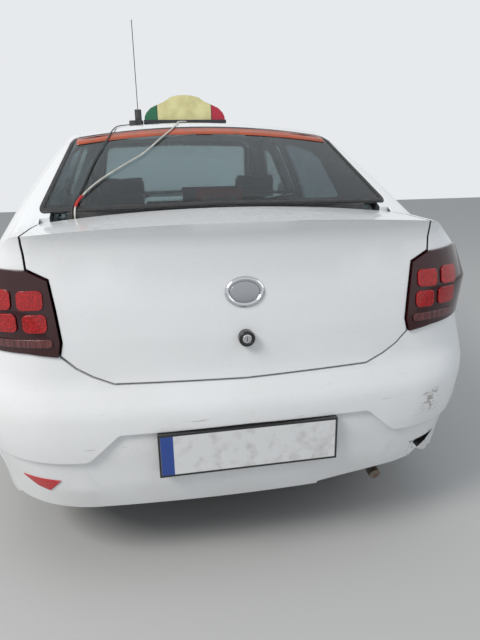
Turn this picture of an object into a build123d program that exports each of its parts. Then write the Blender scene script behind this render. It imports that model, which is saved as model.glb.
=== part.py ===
from build123d import *
import math
import os

os.makedirs("parts", exist_ok=True)

# Frame: millimetres, +Z up, +Y forwards, +X to the car's right, origin on the ground under the middle of the car.
LENGTH = 4358
REAR = -LENGTH / 2
FRONT = LENGTH / 2
FRONT_AXLE_Y = 1349
REAR_AXLE_Y = -1285
FRONT_TRACK_X = 748
REAR_TRACK_X = 743
AXLE_Z = 311
KINGPIN_LOW = (690, 1349, 190)
KINGPIN_TOP = (575, 1349, 850)
ARCH_RADIUS = 347
WELL_RADIUS = 368
WELL_WALL_X = 474
DOOR_GAP = 10
DOOR_LAYER = 45
DOOR_ARCH_RADIUS = 384
ROOF_HALF = 505
LID_FRONT_Y = -1768
LAMP_FRONT_Y = -1915
CREASE_STEP = 12
NECK_RADIUS = 150
NECK_X = 528
PIN_RADIUS = 6
STUB_RADIUS = 16
SPARE_Y = -1745
BOOT_FLOOR_Y = -822
WHEEL_X = -370
STEER_CENTRE = (WHEEL_X, 440, 792)
STEER_AXIS = (0, -0.906, 0.423)
PLATE = (530, 135)
PLATE_Z = 385
SIGN_X = 12
SIGN_Y = -100
SIGN_Z = 1498
ANTENNA_FOOT = (-283, -150, 1488)
LAMP_X = 8
LENS_OUT = 6
CELL_OUT = 4
CABIN_HALF = 700
BELT_Z = 955
SILL_Z = 175
SKIN = 26
ROOF_SKIN = 40
GLASS_T = 5
LID_AXIS = (-1610, 1078)

# Lower body in plan, one row a level: height, half width in the middle, at the rear and at the front, how far the
# rear face and the front face stand in from the bumpers' tips, their bows, and the corner radii at rear and front.
BODY_LEVELS = [
    (SILL_Z, 806, 770, 730, 80, 110, 60, 130, 360, 260),
    (330, 850, 772, 790, 16, 32, 66, 160, 390, 300),
    (470, 864, 806, 815, 0, 0, 70, 175, 360, 330),
    (560, 866, 818, 820, 3, 4, 70, 182, 340, 335),
    (605, 866, 825, 820, 14, 8, 66, 186, 340, 335),
    (642, 866, 830, 818, 40, 14, 60, 188, 340, 335),
    (685, 865, 822, 813, 51, 24, 58, 192, 340, 332),
    (760, 861, 800, 800, 58, 48, 56, 196, 335, 325),
    (880, 842, 806, 765, 74, 160, 56, 200, 275, 290),
    (1024, 784, 736, 718, 97, 363, 56, 200, 212, 268),
    (1064, 762, 715, 690, 88, 420, 56, 200, 205, 260),
    (1092, 746, 703, 677, 72, 460, 56, 200, 202, 255),
    (1140, 720, 682, 655, 70, 530, 56, 200, 198, 245),
]

# Upper edge of the lower body in cross-section: place along the car, height in the middle and at the shoulder,
# half width at the shoulder, radius there, and the angle of the flank under it.
SHOULDER_STATIONS = [
    (-2300, 1088, 1062, 610, 60, 40),
    (-2110, 1094, 1068, 612, 60, 40),
    (-1900, 1103, 1074, 625, 60, 42),
    (-1600, 1118, 1068, 660, 60, 46),
    (-1100, 1020, 985, 735, 50, 52),
    (0, 990, 958, 786, 40, 60),
    (900, 985, 948, 775, 45, 60),
    (1300, 990, 940, 730, 60, 56),
    (1600, 955, 900, 690, 70, 50),
    (1900, 885, 828, 655, 80, 46),
    (2080, 815, 752, 635, 80, 44),
    (2300, 700, 620, 610, 80, 44),
]

# Glasshouse in plan: height, half widths in the middle, rear and front, places of the rear glass and windscreen on
# the centre line, their bows, and the corner radii.
HOUSE_LEVELS = [
    (880, 790, 775, 765, -2214, 1510, 52, 150, 120, 170),
    (1000, 768, 722, 735, -1978, 1302, 52, 142, 115, 160),
    (1110, 734, 684, 698, -1761, 1111, 50, 132, 110, 150),
    (1250, 674, 633, 648, -1485, 868, 46, 118, 105, 140),
    (1400, 603, 580, 588, -1189, 608, 40, 100, 100, 130),
    (1480, 562, 548, 552, -1031, 469, 36, 90, 95, 120),
    (1560, 520, 515, 515, -873, 330, 32, 80, 90, 110),
]

# Roof in cross-section, with the same columns as the shoulder.
ROOF_STATIONS = [
    (-2300, 1060, 1015, 540, 70, 45),
    (-1500, 1325, 1282, 543, 70, 45),
    (-1110, 1422, 1380, 540, 70, 45),
    (-900, 1441, 1399, 540, 70, 45),
    (-400, 1482, 1440, 542, 70, 45),
    (50, 1517, 1475, 542, 70, 45),
    (300, 1508, 1465, 542, 70, 45),
    (480, 1462, 1420, 540, 70, 45),
    (900, 1330, 1285, 540, 70, 45),
    (1700, 1040, 1000, 540, 70, 45),
]

# Side-view outlines, (y, z).
FRONT_DOOR = [(905, 255), (925, 950), (330, 1392), (-178, 1410), (-178, 255)]
FRONT_DOOR_INNER = [(880, 285), (892, 930), (-92, 930), (-92, 285)]
REAR_DOOR = [(-178, 255), (-178, 1410), (-420, 1408), (-880, 1340), (-1062, 960), (-1062, 600), (-1040, 540), (-909, 255)]
REAR_DOOR_INNER = [(-262, 285), (-262, 930), (-1035, 930), (-1035, 660), (-885, 430), (-868, 285)]
FRONT_WINDOW = [(762, 988), (318, 1342), (-104, 1362), (-104, 985)]
REAR_WINDOW = [(-252, 985), (-252, 1360), (-430, 1356), (-840, 1296), (-984, 990)]
REAR_BUMPER = [(-2300, 262), (-2300, 800), (-1952, 800), (-1952, 703), (-1652, 566), (-1600, 225)]
FRONT_BUMPER = [(2300, 150), (2300, 642), (1862, 642), (1712, 566), (1660, 150)]
# Bonnet in plan, (x, y).
BONNET = [(-690, 1290), (690, 1290), (660, 1700), (610, 1990), (540, 2110), (0, 2200), (-540, 2110), (-610, 1990), (-660, 1700)]
FLOOR_SIDE = [(944, 190), (-745, 190), (-820, 395), (-2040, 395), (-2040, 411), (-810, 411), (-733, 208), (944, 208)]
DASH_SIDE = [(944, 560), (944, 912), (880, 938), (700, 926), (610, 880), (590, 800), (640, 640), (760, 560)]
SEAT_CUSHION = [(250, 325), (262, 455), (200, 492), (-230, 448), (-290, 430), (-290, 325)]
SEAT_BACK = [(-150, 440), (-230, 460), (-430, 1010), (-440, 1035), (-500, 1035), (-510, 1000), (-310, 400), (-190, 400)]
HEADREST = [(-412, 1030), (-425, 1190), (-450, 1210), (-505, 1200), (-500, 1035)]
BENCH_CUSHION = [(-560, 414), (-552, 530), (-590, 560), (-900, 520), (-960, 500), (-960, 414)]
BENCH_BACK = [(-860, 512), (-1035, 1010), (-1060, 1030), (-1120, 1022), (-1128, 990), (-985, 414), (-900, 414)]
BENCH_HEAD = [(-1040, 1020), (-1052, 1130), (-1072, 1148), (-1125, 1138), (-1120, 1015)]
BONNET_SIDE = [(1290, 700), (1290, 1200), (2300, 1200), (2300, 782), (2000, 782)]
BONNET_HOLE_SIDE = [(1284, 700), (1284, 1200), (2300, 1200), (2300, 776), (2000, 776)]
# Leads on the roof and the rear window, (x, y, z) along the middle of each.
SIGN_LEAD = [
    (12, -172, 1507), (10, -232, 1503), (4, -300, 1497), (-8, -378, 1491), (-14, -458, 1484), (-22, -540, 1477),
    (-33, -622, 1471), (-47, -702, 1464), (-57, -782, 1457), (-65, -862, 1451), (-78, -942, 1443), (-87, -1020, 1436),
    (-94, -1096, 1429), (-106, -1166, 1414), (-136, -1232, 1385), (-178, -1290, 1354), (-214, -1352, 1322),
    (-251, -1410, 1291), (-300, -1458, 1265), (-349, -1512, 1236), (-396, -1562, 1209), (-434, -1615, 1181),
    (-460, -1664, 1155), (-473, -1693, 1139), (-478, -1716, 1127), (-480, -1752, 1108), (-480, -1752, 1068),
]
ANTENNA_LEAD = [
    (-283, -206, 1493), (-285, -262, 1489), (-291, -325, 1482), (-298, -390, 1477), (-302, -460, 1471), (-309, -528, 1464),
    (-319, -596, 1458), (-328, -664, 1451), (-336, -732, 1445), (-340, -800, 1439), (-350, -868, 1433), (-354, -936, 1426),
    (-353, -1004, 1420), (-357, -1072, 1414), (-364, -1140, 1402), (-373, -1206, 1386), (-383, -1268, 1359),
    (-401, -1330, 1326), (-420, -1392, 1293), (-434, -1456, 1260), (-447, -1520, 1227), (-457, -1580, 1197),
    (-468, -1634, 1169), (-480, -1680, 1145), (-487, -1716, 1126), (-489, -1752, 1108), (-489, -1752, 1068),
]
# Outlines seen from the front or the rear, (x, z), for the right half.
WINDSCREEN = [(0, 1020), (655, 1002), (528, 1416), (0, 1432)]
REAR_GLASS = [(0, 1113), (600, 1105), (525, 1360), (0, 1404)]
LID_EDGE = [(0, 654), (372, 663), (428, 686), (470, 712), (509, 749), (501, 785), (510, 875), (522, 957), (578, 986),
            (583, 1050), (583, 1300), (0, 1300)]
LID_HOLE = [(0, 648), (374, 657), (432, 681), (475, 708), (516, 746), (508, 785), (517, 874), (528, 953), (584, 982),
            (589, 1050), (589, 1300), (0, 1300)]
LID_FRAME = [(0, 680), (366, 688), (420, 708), (455, 734), (480, 765), (478, 785), (486, 880), (500, 975), (548, 1000),
             (556, 1050), (556, 1300), (0, 1300)]
BUMPER_CREASE = [(0, 526), (364, 520), (374, 516), (452, 446), (466, 438), (900, 436), (900, 100), (0, 100)]
BROKEN_EDGE = [(230, 200), (230, 262), (300, 274), (441, 292), (560, 300), (584, 322), (600, 306), (668, 318), (900, 336), (900, 200)]
REFLECTOR = [(672, 361), (552, 366), (592, 320), (630, 331)]
TAIL_LAMP = [(516, 746), (508, 785), (517, 874), (528, 953), (584, 982), (700, 988), (900, 992), (900, 766), (600, 757)]
# Tail lamp cells, (x of both sides, z of both sides); the last is the reversing strip.
LAMP_CELLS = [
    (542, 611, 878, 930),
    (628, 694, 880, 934),
    (537, 601, 816, 866),
    (618, 690, 818, 870),
    (527, 688, 775, 798),
]
HEADLAMP = [(418, 650), (408, 716), (432, 776), (900, 812), (900, 690), (700, 650)]
GRILLE = [(0, 650), (410, 650), (402, 716), (426, 770), (0, 777)]


def mirrored(shape):
    return mirror(shape, about=Plane.YZ)


def both(shape):
    return shape + mirrored(shape)


def block(x0, x1, y0, y1, z0, z1):
    return Pos((x0 + x1) / 2, (y0 + y1) / 2, (z0 + z1) / 2) * Box(x1 - x0, y1 - y0, z1 - z0)


def side_prism(points, x0, x1):
    outline = Plane.YZ.offset(x0) * make_face(Polyline(*points, close=True))
    return extrude(outline, x1 - x0)


def end_prism(points, y0, y1):
    outline = Plane.XZ.offset(-y0) * make_face(Polyline(*points, close=True))
    return extrude(outline, -(y1 - y0))


def whole_outline(half):
    """The closed outline of a right half whose first and last points are on the centre line."""
    return half + [(-x, z) for x, z in reversed(half) if x > 0]


def largest(shape):
    return Part() + shape.solids().sort_by(SortBy.VOLUME)[-1]


def rod(start, end, radius):
    a, b = Vector(*start), Vector(*end)
    return Plane(a, z_dir=b - a) * Cylinder(radius, (b - a).length, align=(Align.CENTER, Align.CENTER, Align.MIN))


def disc_x(x0, x1, y, z, radius):
    return Plane((x0, y, z), z_dir=(1, 0, 0)) * Cylinder(
        radius, x1 - x0, align=(Align.CENTER, Align.CENTER, Align.MIN)
    )


def plan_outline(z, half, half_rear, half_front, y_rear, y_front, bow_rear, bow_front, corner_rear, corner_front):
    with BuildSketch(Plane.XY.offset(z)) as sketch:
        with BuildLine():
            ThreePointArc((-half_rear, y_rear + bow_rear), (0, y_rear), (half_rear, y_rear + bow_rear))
            ThreePointArc((half_rear, y_rear + bow_rear), (half, 0), (half_front, y_front - bow_front))
            ThreePointArc((half_front, y_front - bow_front), (0, y_front), (-half_front, y_front - bow_front))
            ThreePointArc((-half_front, y_front - bow_front), (-half, 0), (-half_rear, y_rear + bow_rear))
        make_face()
        fillet([v for v in sketch.vertices() if v.Y < 0], corner_rear)
        fillet([v for v in sketch.vertices() if v.Y > 0], corner_front)
    return sketch.sketch.faces()[0]


def over_section(y, z_middle, z_edge, x_edge, radius, flank):
    """Everything above a body section: crown arc, rounded shoulder, and flank running down and out."""
    far = 1300
    z_far = z_edge - (far - x_edge) * math.tan(math.radians(flank))
    with BuildSketch(Plane.XZ.offset(-y)) as sketch:
        with BuildLine():
            ThreePointArc((-x_edge, z_edge), (0, z_middle), (x_edge, z_edge))
            Polyline((x_edge, z_edge), (far, z_far), (far, 2600), (-far, 2600), (-far, z_far), (-x_edge, z_edge))
        make_face()
        fillet([v for v in sketch.vertices() if abs(abs(v.X) - x_edge) < 1], radius)
    return sketch.sketch.faces()[0]


def lofted(faces):
    return Part() + Solid.make_loft([face.outer_wire() for face in faces], ruled=True)


def over_form(stations, inset):
    rows = [(y, zm - inset, ze - inset, xe - inset * 0.5, radius, flank) for y, zm, ze, xe, radius, flank in stations]
    return lofted([over_section(*row) for row in rows])


def flank_form(inset, floor_z):
    faces = []
    for number, row in enumerate(BODY_LEVELS):
        z, half, rear, front, in_rear, in_front, bow_rear, bow_front, corner_rear, corner_front = row
        if number == 0:
            z = floor_z
        faces.append(
            plan_outline(
                z, half - inset, rear - inset, front - inset,
                REAR + in_rear + inset, FRONT - in_front - inset,
                bow_rear, bow_front, max(corner_rear - inset, 40), max(corner_front - inset, 40),
            )
        )
    return lofted(faces)


def lower_form(inset, floor_z):
    return flank_form(inset, floor_z) - over_form(SHOULDER_STATIONS, inset)


def house_form(inset):
    faces = []
    for z, half, rear, front, y_rear, y_front, bow_rear, bow_front, corner_rear, corner_front in HOUSE_LEVELS:
        faces.append(
            plan_outline(
                z, half - inset, rear - inset, front - inset,
                y_rear + inset * 1.9, y_front - inset * 1.9,
                bow_rear, bow_front, max(corner_rear - inset, 40), max(corner_front - inset, 40),
            )
        )
    form = lofted(faces) - over_form(ROOF_STATIONS, inset)
    return form & block(-900, 900, -1990, 1480, 880, 1600)


def window_cut(outline, rounding, x0, x1):
    prism = side_prism(outline, x0, x1)
    return fillet(prism.edges().filter_by(Axis.X), rounding)


def end_cut(half, rounding, y0, y1):
    prism = end_prism(whole_outline(half), y0, y1)
    corners = [e for e in prism.edges().filter_by(Axis.Y) if abs(e.center().X) > 10]
    return fillet(corners, rounding)


lower = lower_form(0, SILL_Z)
lower_in = lower_form(SKIN, 60)
flank_in = flank_form(DOOR_LAYER, 60)
house = house_form(0)
house_in = house_form(ROOF_SKIN)

wheel_wells = Part()
for axle_y in (FRONT_AXLE_Y, REAR_AXLE_Y):
    inner_x = WELL_WALL_X if axle_y > 0 else 585
    wheel_wells += disc_x(inner_x, 800, axle_y, AXLE_Z, WELL_RADIUS)
    wheel_wells += disc_x(795, 1000, axle_y, AXLE_Z, ARCH_RADIUS)
wheel_wells = both(wheel_wells)

# Doors: a full outline through the outer 45 mm, and a smaller thick inner part under the belt that carries the trim.
shell_lower = lower - flank_in
shell_house = house - house_in
glass_in = house_form(14 + GLASS_T)
skin_lower = lower - lower_in
door_wall = ((shell_lower & block(0, 1000, -1400, 1200, 150, BELT_Z + 40)) - house_in) + (
    (house - glass_in) & block(0, 1000, -1400, 1200, BELT_Z - 25, 1500)
)
door_inside = (flank_in & block(CABIN_HALF, 900, -1400, 1200, 240, 932)) - house_in
front_door_outline = side_prism(FRONT_DOOR, 515, 1000)
rear_door_outline = side_prism(REAR_DOOR, 515, 1000) - disc_x(500, 1010, REAR_AXLE_Y, AXLE_Z, DOOR_ARCH_RADIUS)
front_window_cut = window_cut(FRONT_WINDOW, 28, 400, 1000)
rear_window_cut = window_cut(REAR_WINDOW, 28, 400, 1000)


def door(outline, inner, window):
    """One right door: outer layer under and round the window, thick part below the belt, half a gap all round."""
    ring = offset(outline.faces().sort_by(Axis.X)[-1], -DOOR_GAP / 2, kind=Kind.INTERSECTION)
    trimmed = extrude(ring, 485, dir=(-1, 0, 0))
    return (door_wall & trimmed) + (door_inside & side_prism(inner, CABIN_HALF, 900)) - window


def pull_handle(x, y_middle, z):
    """A grab handle on the door's skin, open behind the bar."""
    bar = block(x - 12, x + 36, y_middle - 95, y_middle + 95, z - 14, z + 14)
    bar = fillet(bar.edges().filter_by(Axis.Y), 6)
    return bar - block(x - 20, x + 23, y_middle - 62, y_middle + 62, z - 20, z + 20)


# The rear door's frame stops lower under the roof rail, because it moves back a little as it opens.
under_rail = side_prism(
    [(-150, 1450), (-150, 1401), (-400, 1399), (-470, 1390), (-862, 1332), (-1057, 958), (-1100, 958), (-1100, 1450)], 515, 1000
)
front_door = door(front_door_outline, FRONT_DOOR_INNER, front_window_cut) + pull_handle(850, -60, 838)
rear_door = door(rear_door_outline, REAR_DOOR_INNER, rear_window_cut) - under_rail + pull_handle(838, -905, 842)
glass_layer = (house_form(14) - glass_in) & block(300, 1000, -1400, 1200, 965, 1450)
front_door_glass = glass_layer & front_window_cut
rear_door_glass = glass_layer & rear_window_cut
door_openings = front_door_outline + rear_door_outline
door_openings = door_openings + mirrored(door_openings)

# Cuts seen from the front and the rear.
windscreen_cut = end_cut(WINDSCREEN, 60, 300, 1500)
rear_glass_cut = end_cut(REAR_GLASS, 18, -2000, -1000)
lid_cut = end_prism(whole_outline(LID_EDGE), -2300, LID_FRONT_Y)
lid_hole = end_prism(whole_outline(LID_HOLE), -2300, LID_FRONT_Y + 6)
lamp_cut = end_prism(TAIL_LAMP, -2300, LAMP_FRONT_Y)
rear_bumper_cut = side_prism(REAR_BUMPER, -1000, 1000)
front_bumper_cut = side_prism(FRONT_BUMPER, -1000, 1000)
headlamp_cut = end_prism(HEADLAMP, 1830, 2300)
grille_cut = end_prism(whole_outline(GRILLE), 1980, 2300)
bonnet_face = Plane.XY.offset(700) * make_face(Polyline(*BONNET, close=True))
bonnet_cut = extrude(bonnet_face, 500) & side_prism(BONNET_SIDE, -1000, 1000)
bonnet_hole = extrude(offset(bonnet_face, 5, kind=Kind.INTERSECTION), 500) & side_prism(BONNET_HOLE_SIDE, -1000, 1000)

# The right half of the skin, less everything that is another piece.
right_half = block(0, 1000, -2300, 2300, 0, 1600)
skin_right = skin_lower & right_half
side_skin = skin_right - rear_bumper_cut - front_bumper_cut - lid_hole - lamp_cut - wheel_wells - door_openings
neck_slot = both(block(516, 556, LID_FRONT_Y - 7, -1560, 900, 1120))
side_skin = side_skin - bonnet_hole - headlamp_cut - house_in - neck_slot

# Body side: quarter, pillars, roof rail, sill, door jambs, wheelhouse.
house_wall = shell_house - windscreen_cut - rear_glass_cut - door_openings
house_wall = house_wall - block(-586, 586, -1995, LID_FRONT_Y + 8, 870, 1300)
house_wall = house_wall - neck_slot
wall_right = (house_wall & block(ROOF_HALF, 1000, -1990, 1300, 930, 1600)) - lamp_cut - bonnet_hole
quarter_right = side_skin & block(ROOF_HALF, 1000, -2300, -870, 240, 1200)
sill_right = lower & block(655, 1000, -925, 972, SILL_Z, 252)
front_post = (lower_in & block(676, 900, 911, 968, 240, 950)) - front_door_outline
pillar_low = (flank_form(86, 60) - flank_form(128, 60)) & block(500, 900, -238, -112, 240, 985)
pillar_high = (house_form(58) - house_form(98)) & block(480, 900, -226, -124, 940, 1500)
pillar_root = block(656, 700, -238, -112, 200, 300)
pillar_top = block(508, 528, -226, -124, 1380, 1425) + (block(508, 600, -226, -124, 1414, 1445) & house)
rear_jamb = (lower - house_in) & block(680, 900, -1100, -1066, 600, 950)
wheelhouse = disc_x(579, 838, REAR_AXLE_Y, AXLE_Z, WELL_RADIUS + 9) & block(500, 1000, -1700, -890, 400, 720)
wheelhouse = (wheelhouse - wheel_wells) & lower_in
body_side_right = wall_right + quarter_right + sill_right + front_post + pillar_low + pillar_high + pillar_root
body_side_right = body_side_right + pillar_top + rear_jamb + wheelhouse

roof_panel = (house_wall & block(-ROOF_HALF, ROOF_HALF, -1400, 900, 1330, 1600)) - mirrored(wall_right)
wing_right = (side_skin & block(560, 1000, 913, 1990, 256, 1100)) - wall_right

# Windscreen and rear window, flush in their openings.
pane = house - house_form(GLASS_T)
windscreen = pane & windscreen_cut
rear_window = pane & rear_glass_cut

# Rear bumper: the skin under the lid and lamps, stepped in below a crease that rises over the number plate.
bumper_skin = (skin_lower & rear_bumper_cut) - lid_hole - lamp_cut - mirrored(lamp_cut) - wheel_wells
below_crease = end_prism(whole_outline(BUMPER_CREASE), -2300, -1950)
rear_bumper = (bumper_skin - below_crease) + (Pos(0, CREASE_STEP, 0) * bumper_skin & below_crease)
rear_bumper = rear_bumper - end_prism(BROKEN_EDGE, -2300, -1985)

# Boot lid: skin, inner frame, goose-neck arms.
lid_skin = skin_lower & lid_cut
lid_frame = (Pos(0, 24, -22) * lid_skin & end_prism(whole_outline(LID_FRAME), -2300, LID_FRONT_Y - 30)) - (
    block(-420, 420, -2300, LID_FRONT_Y - 90, 700, 1300)
)


def goose_neck(x):
    """One hinge arm: down from the pivot, round under the gutter and back along the lid."""
    y, z = LID_AXIS
    ring = disc_x(x, x + 14, y, z, NECK_RADIUS + 9) - disc_x(x - 1, x + 15, y, z, NECK_RADIUS - 9)
    ring = ring & block(x - 1, x + 15, y - 200, y, z - 200, z - 28)
    drop = block(x, x + 14, y - 9, y + 9, z - NECK_RADIUS, z) + disc_x(x, x + 14, y, z, 15)
    tail = block(x, x + 14, y - 330, y - NECK_RADIUS + 4, z - 62, z - 34)
    return ring + drop + tail - disc_x(x - 1, x + 15, y, z, PIN_RADIUS + 0.5)


lid_lock = Plane((4, REAR + 40, 771), z_dir=(0, 1, 0)) * Cylinder(23, 60, align=(Align.CENTER, Align.CENTER, Align.MIN))
necks = both(goose_neck(NECK_X))
boot_lid = lid_skin + lid_frame + necks + lid_lock
pivot_y, pivot_z = LID_AXIS
hinge_post = block(552, 700, pivot_y - 22, pivot_y + 22, pivot_z - 40, pivot_z + 12)
hinge_post = (hinge_post & lower) + (hinge_post & house) + disc_x(NECK_X - 6, 570, pivot_y, pivot_z, PIN_RADIUS)
body_side_right = largest(body_side_right + hinge_post)

# Rear shelf and panel: gutter under the rear window, shelf behind the bench, panel that closes the boot.
shelf = block(-560, 560, -1570, -1150, 1076, 1092) + block(-505, 505, -1714, -1560, 1076, 1092)
gutter = (house_wall & block(-505, 505, -1745, -1560, 1050, 1130)) + block(-505, 505, -1714, -1698, 1055, 1098)
gutter = (gutter & (lower + house)) + block(-505, 505, -1762, -1698, 1050, 1060) + block(-500, -470, -1759, -1745, 1059, 1068)
behind_bumper = Pos(0, CREASE_STEP + 2, 0) * lower_in
rear_panel = block(-650, 650, -2058, -2042, 330, 655) & behind_bumper
rear_shelf = shelf + gutter
shelf_ends = (lower_in + house_in) & both(block(555, 800, -1570, -1150, 1076, 1092))
rear_shelf = (rear_shelf + shelf_ends) - body_side_right - mirrored(body_side_right)

bonnet_skin = skin_lower & bonnet_cut
bonnet_frame = (Pos(0, -14, -22) * bonnet_skin & block(-610, 610, 1345, 1940, 700, 1100)) - (
    block(-520, 520, 1420, 1880, 600, 1100)
)
bonnet = bonnet_skin + bonnet_frame

# Front bumper: skin with the lower intake, the upper one under the grille, and a plain plate place.
intake = end_prism(whole_outline([(0, 262), (430, 262), (470, 330), (440, 400), (0, 400)]), 1900, 2300)
lamp_pocket = both(end_prism([(560, 330), (700, 340), (700, 430), (560, 410)], 1900, 2300))
front_bumper = (skin_lower & front_bumper_cut) - wheel_wells - mirrored(wheel_wells) - intake
intake_bars = Part()
for bar_z in (292, 330, 368):
    intake_bars += block(-470, 470, 2050, 2158, bar_z - 5, bar_z + 5)
front_bumper = front_bumper + (intake_bars & lower_in)

# Grille: a frame with bars standing back in it.
grille_frame = (lower & grille_cut) - (flank_form(70, 60) & block(-900, 900, 1900, 2300, 500, 900))
grille_hole = end_prism(whole_outline([(0, 662), (392, 662), (386, 716), (404, 756), (0, 763)]), 1900, 2300)
grille = grille_frame - grille_hole
for bar_z in (680, 704, 728, 750):
    grille = grille + (block(-405, 405, 2060, 2105, bar_z - 5, bar_z + 5) & grille_cut & lower_in)
grille = grille - bonnet_hole

headlamp_right = (lower & headlamp_cut) - bonnet_hole - flank_in

# Tail lamps: a lens that stands out of the body all round, with four rounded cells and the reversing strip on it.
lens_form = flank_form(-LENS_OUT, 60)
tail_lamp_right = (lens_form & lamp_cut) - over_form(SHOULDER_STATIONS, -LENS_OUT) - flank_in
cell_prisms = Part()
for x_inner, x_outer, z_low, z_high in LAMP_CELLS:
    cell = block(x_inner, x_outer, -2300, -1950, z_low, z_high)
    cell_prisms += fillet(cell.edges().filter_by(Axis.Y), min(14, (z_high - z_low) * 0.42))
lamp_cells_right = (flank_form(-LENS_OUT - CELL_OUT, 60) & cell_prisms) - lens_form

# Door mirrors on their stalks.
mirror_head = Pos(935, 800, 1035) * Rot(0, 0, -12) * Box(190, 95, 130)
mirror_head = fillet(mirror_head.edges(), 26)
mirror_right = mirror_head + (block(800, 880, 780, 822, 962, 992) - house_form(1))

# Wipers along the windscreen's foot: blade on the glass, arm over it, boss at the pivot.
glass_skin = house_form(-8)
on_glass = glass_skin - house
over_glass = house_form(-16) - glass_skin
wipers = Part()
for pivot_x, blade_end in ((-505, 65), (75, 560)):
    blade = end_prism([(pivot_x + 15, 1037), (blade_end, 1037), (blade_end, 1047), (pivot_x + 15, 1047)], 900, 1400)
    boss = end_prism([(pivot_x - 13, 1020), (pivot_x + 13, 1020), (pivot_x + 13, 1041), (pivot_x - 13, 1041)], 900, 1400)
    arm = end_prism([(pivot_x, 1023), (pivot_x + 270, 1037), (pivot_x + 266, 1047), (pivot_x, 1037)], 900, 1400)
    wipers += (on_glass & (blade + boss)) + (over_glass & (arm + boss))

# Floor pan: side profile with heel board and boot floor, tunnel, spare-wheel well, two long members.
floor_pan = side_prism(FLOOR_SIDE, -CABIN_HALF + 20, CABIN_HALF - 20)
floor_pan = floor_pan - block(-105, 105, -741, 1000, 150, 300)
tunnel = block(-121, 121, -741, 942, 190, 301) - block(-105, 105, -800, 1000, 180, 285)
floor_pan = floor_pan - block(-120, 120, -758, 1000, 100, 285) - block(-105, 105, -800, -750, 150, 285) + tunnel
spare_well = Pos(0, SPARE_Y, 240) * Cylinder(300, 171, align=(Align.CENTER, Align.CENTER, Align.MIN))
spare_space = Pos(0, SPARE_Y, 250) * Cylinder(290, 200, align=(Align.CENTER, Align.CENTER, Align.MIN))
floor_pan = floor_pan + spare_well - spare_space
floor_pan = floor_pan + both(block(390, 450, -735, 940, 164, 192))
floor_pan = floor_pan - both(disc_x(570, 900, REAR_AXLE_Y, AXLE_Z, WELL_RADIUS + 9.5))
floor_pan = floor_pan & block(-654.5, 654.5, -2040, 944, 100, 500)
rear_panel = rear_panel - floor_pan
whole_floor = floor_pan
floor_pan = whole_floor & block(-700, 700, BOOT_FLOOR_Y, 1000, 100, 500)
boot_floor = whole_floor & block(-700, 700, -2100, BOOT_FLOOR_Y, 100, 500) & behind_bumper

# Engine bay: firewall, cowl, inner wings with strut towers, rails, lamp and radiator frame.
firewall = (block(-675, 675, 945, 963, 192, 935) & lower_in) - block(-105, 105, 940, 970, 150, 285)
firewall = firewall - both(block(654, 700, 940, 970, 150, 253))
cowl = block(-660, 660, 963, 1262, 916, 930) + (house_wall & block(-505, 505, 1100, 1262, 930, 1040))
inner_wing = block(462, 473, 963, 1995, 430, 740) - disc_x(400, 500, FRONT_AXLE_Y, AXLE_Z, 200)
liner = disc_x(473, 806, FRONT_AXLE_Y, AXLE_Z, WELL_RADIUS + 8) - disc_x(460, 900, FRONT_AXLE_Y, AXLE_Z, WELL_RADIUS)
liner = liner & block(400, 806, 969, 1800, 330, 700)
top_x, top_y, top_z = KINGPIN_TOP
tower = Pos(top_x, top_y, 560) * Cylinder(104, 310, align=(Align.CENTER, Align.CENTER, Align.MIN))
tower_space = Pos(top_x, top_y, 540) * Cylinder(94, 318, align=(Align.CENTER, Align.CENTER, Align.MIN))
liner = liner - tower_space
tower = (tower - tower_space) - disc_x(400, 900, FRONT_AXLE_Y, AXLE_Z, WELL_RADIUS)
rail = block(400, 462, 963, 2060, 440, 520)
frame_front = block(-462, 462, 1980, 2004, 700, 740) + block(-480, 480, 1980, 2004, 250, 290)
frame_front += both(block(420, 462, 1980, 2004, 250, 740))
radiator = block(-330, 330, 1968, 1992, 290, 700)
front_beam = block(-500, 500, 2060, 2095, 450, 510)
bay_half = inner_wing + liner + tower + rail
engine_bay = firewall + cowl + both(bay_half) + frame_front + radiator + front_beam
engine_bay = (engine_bay & (lower_in + block(-506, 506, 1100, 1262, 916, 1040))) - bonnet_hole

# Engine and gearbox as one plain block with its two drive shafts.
engine = block(-330, 300, 1180, 1620, 330, 800) + both(rod((200, FRONT_AXLE_Y, AXLE_Z + 25), (470, FRONT_AXLE_Y, AXLE_Z), 14))
engine = engine + both(disc_x(560, 598, FRONT_AXLE_Y, AXLE_Z, 38) + disc_x(460, 580, FRONT_AXLE_Y, AXLE_Z, 14))

# Front subframe with its lower arms and rack.
subframe = block(-340, 340, 1190, 1260, 205, 262) + block(-300, 300, 1450, 1500, 205, 255)
subframe += both(block(270, 345, 1190, 1500, 176, 255)) + block(-60, 60, 1200, 1250, 255, 330)
arm_outline = [(330, 1215), (330, 1480), (420, 1400), (668, 1372), (668, 1326), (420, 1260)]
arm = extrude(Plane.XY.offset(176) * make_face(Polyline(*arm_outline, close=True)), 22)
subframe += both(arm) + rod((-400, 1140, 300), (400, 1140, 300), 24) + both(block(150, 190, 1140, 1200, 240, 300))

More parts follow.
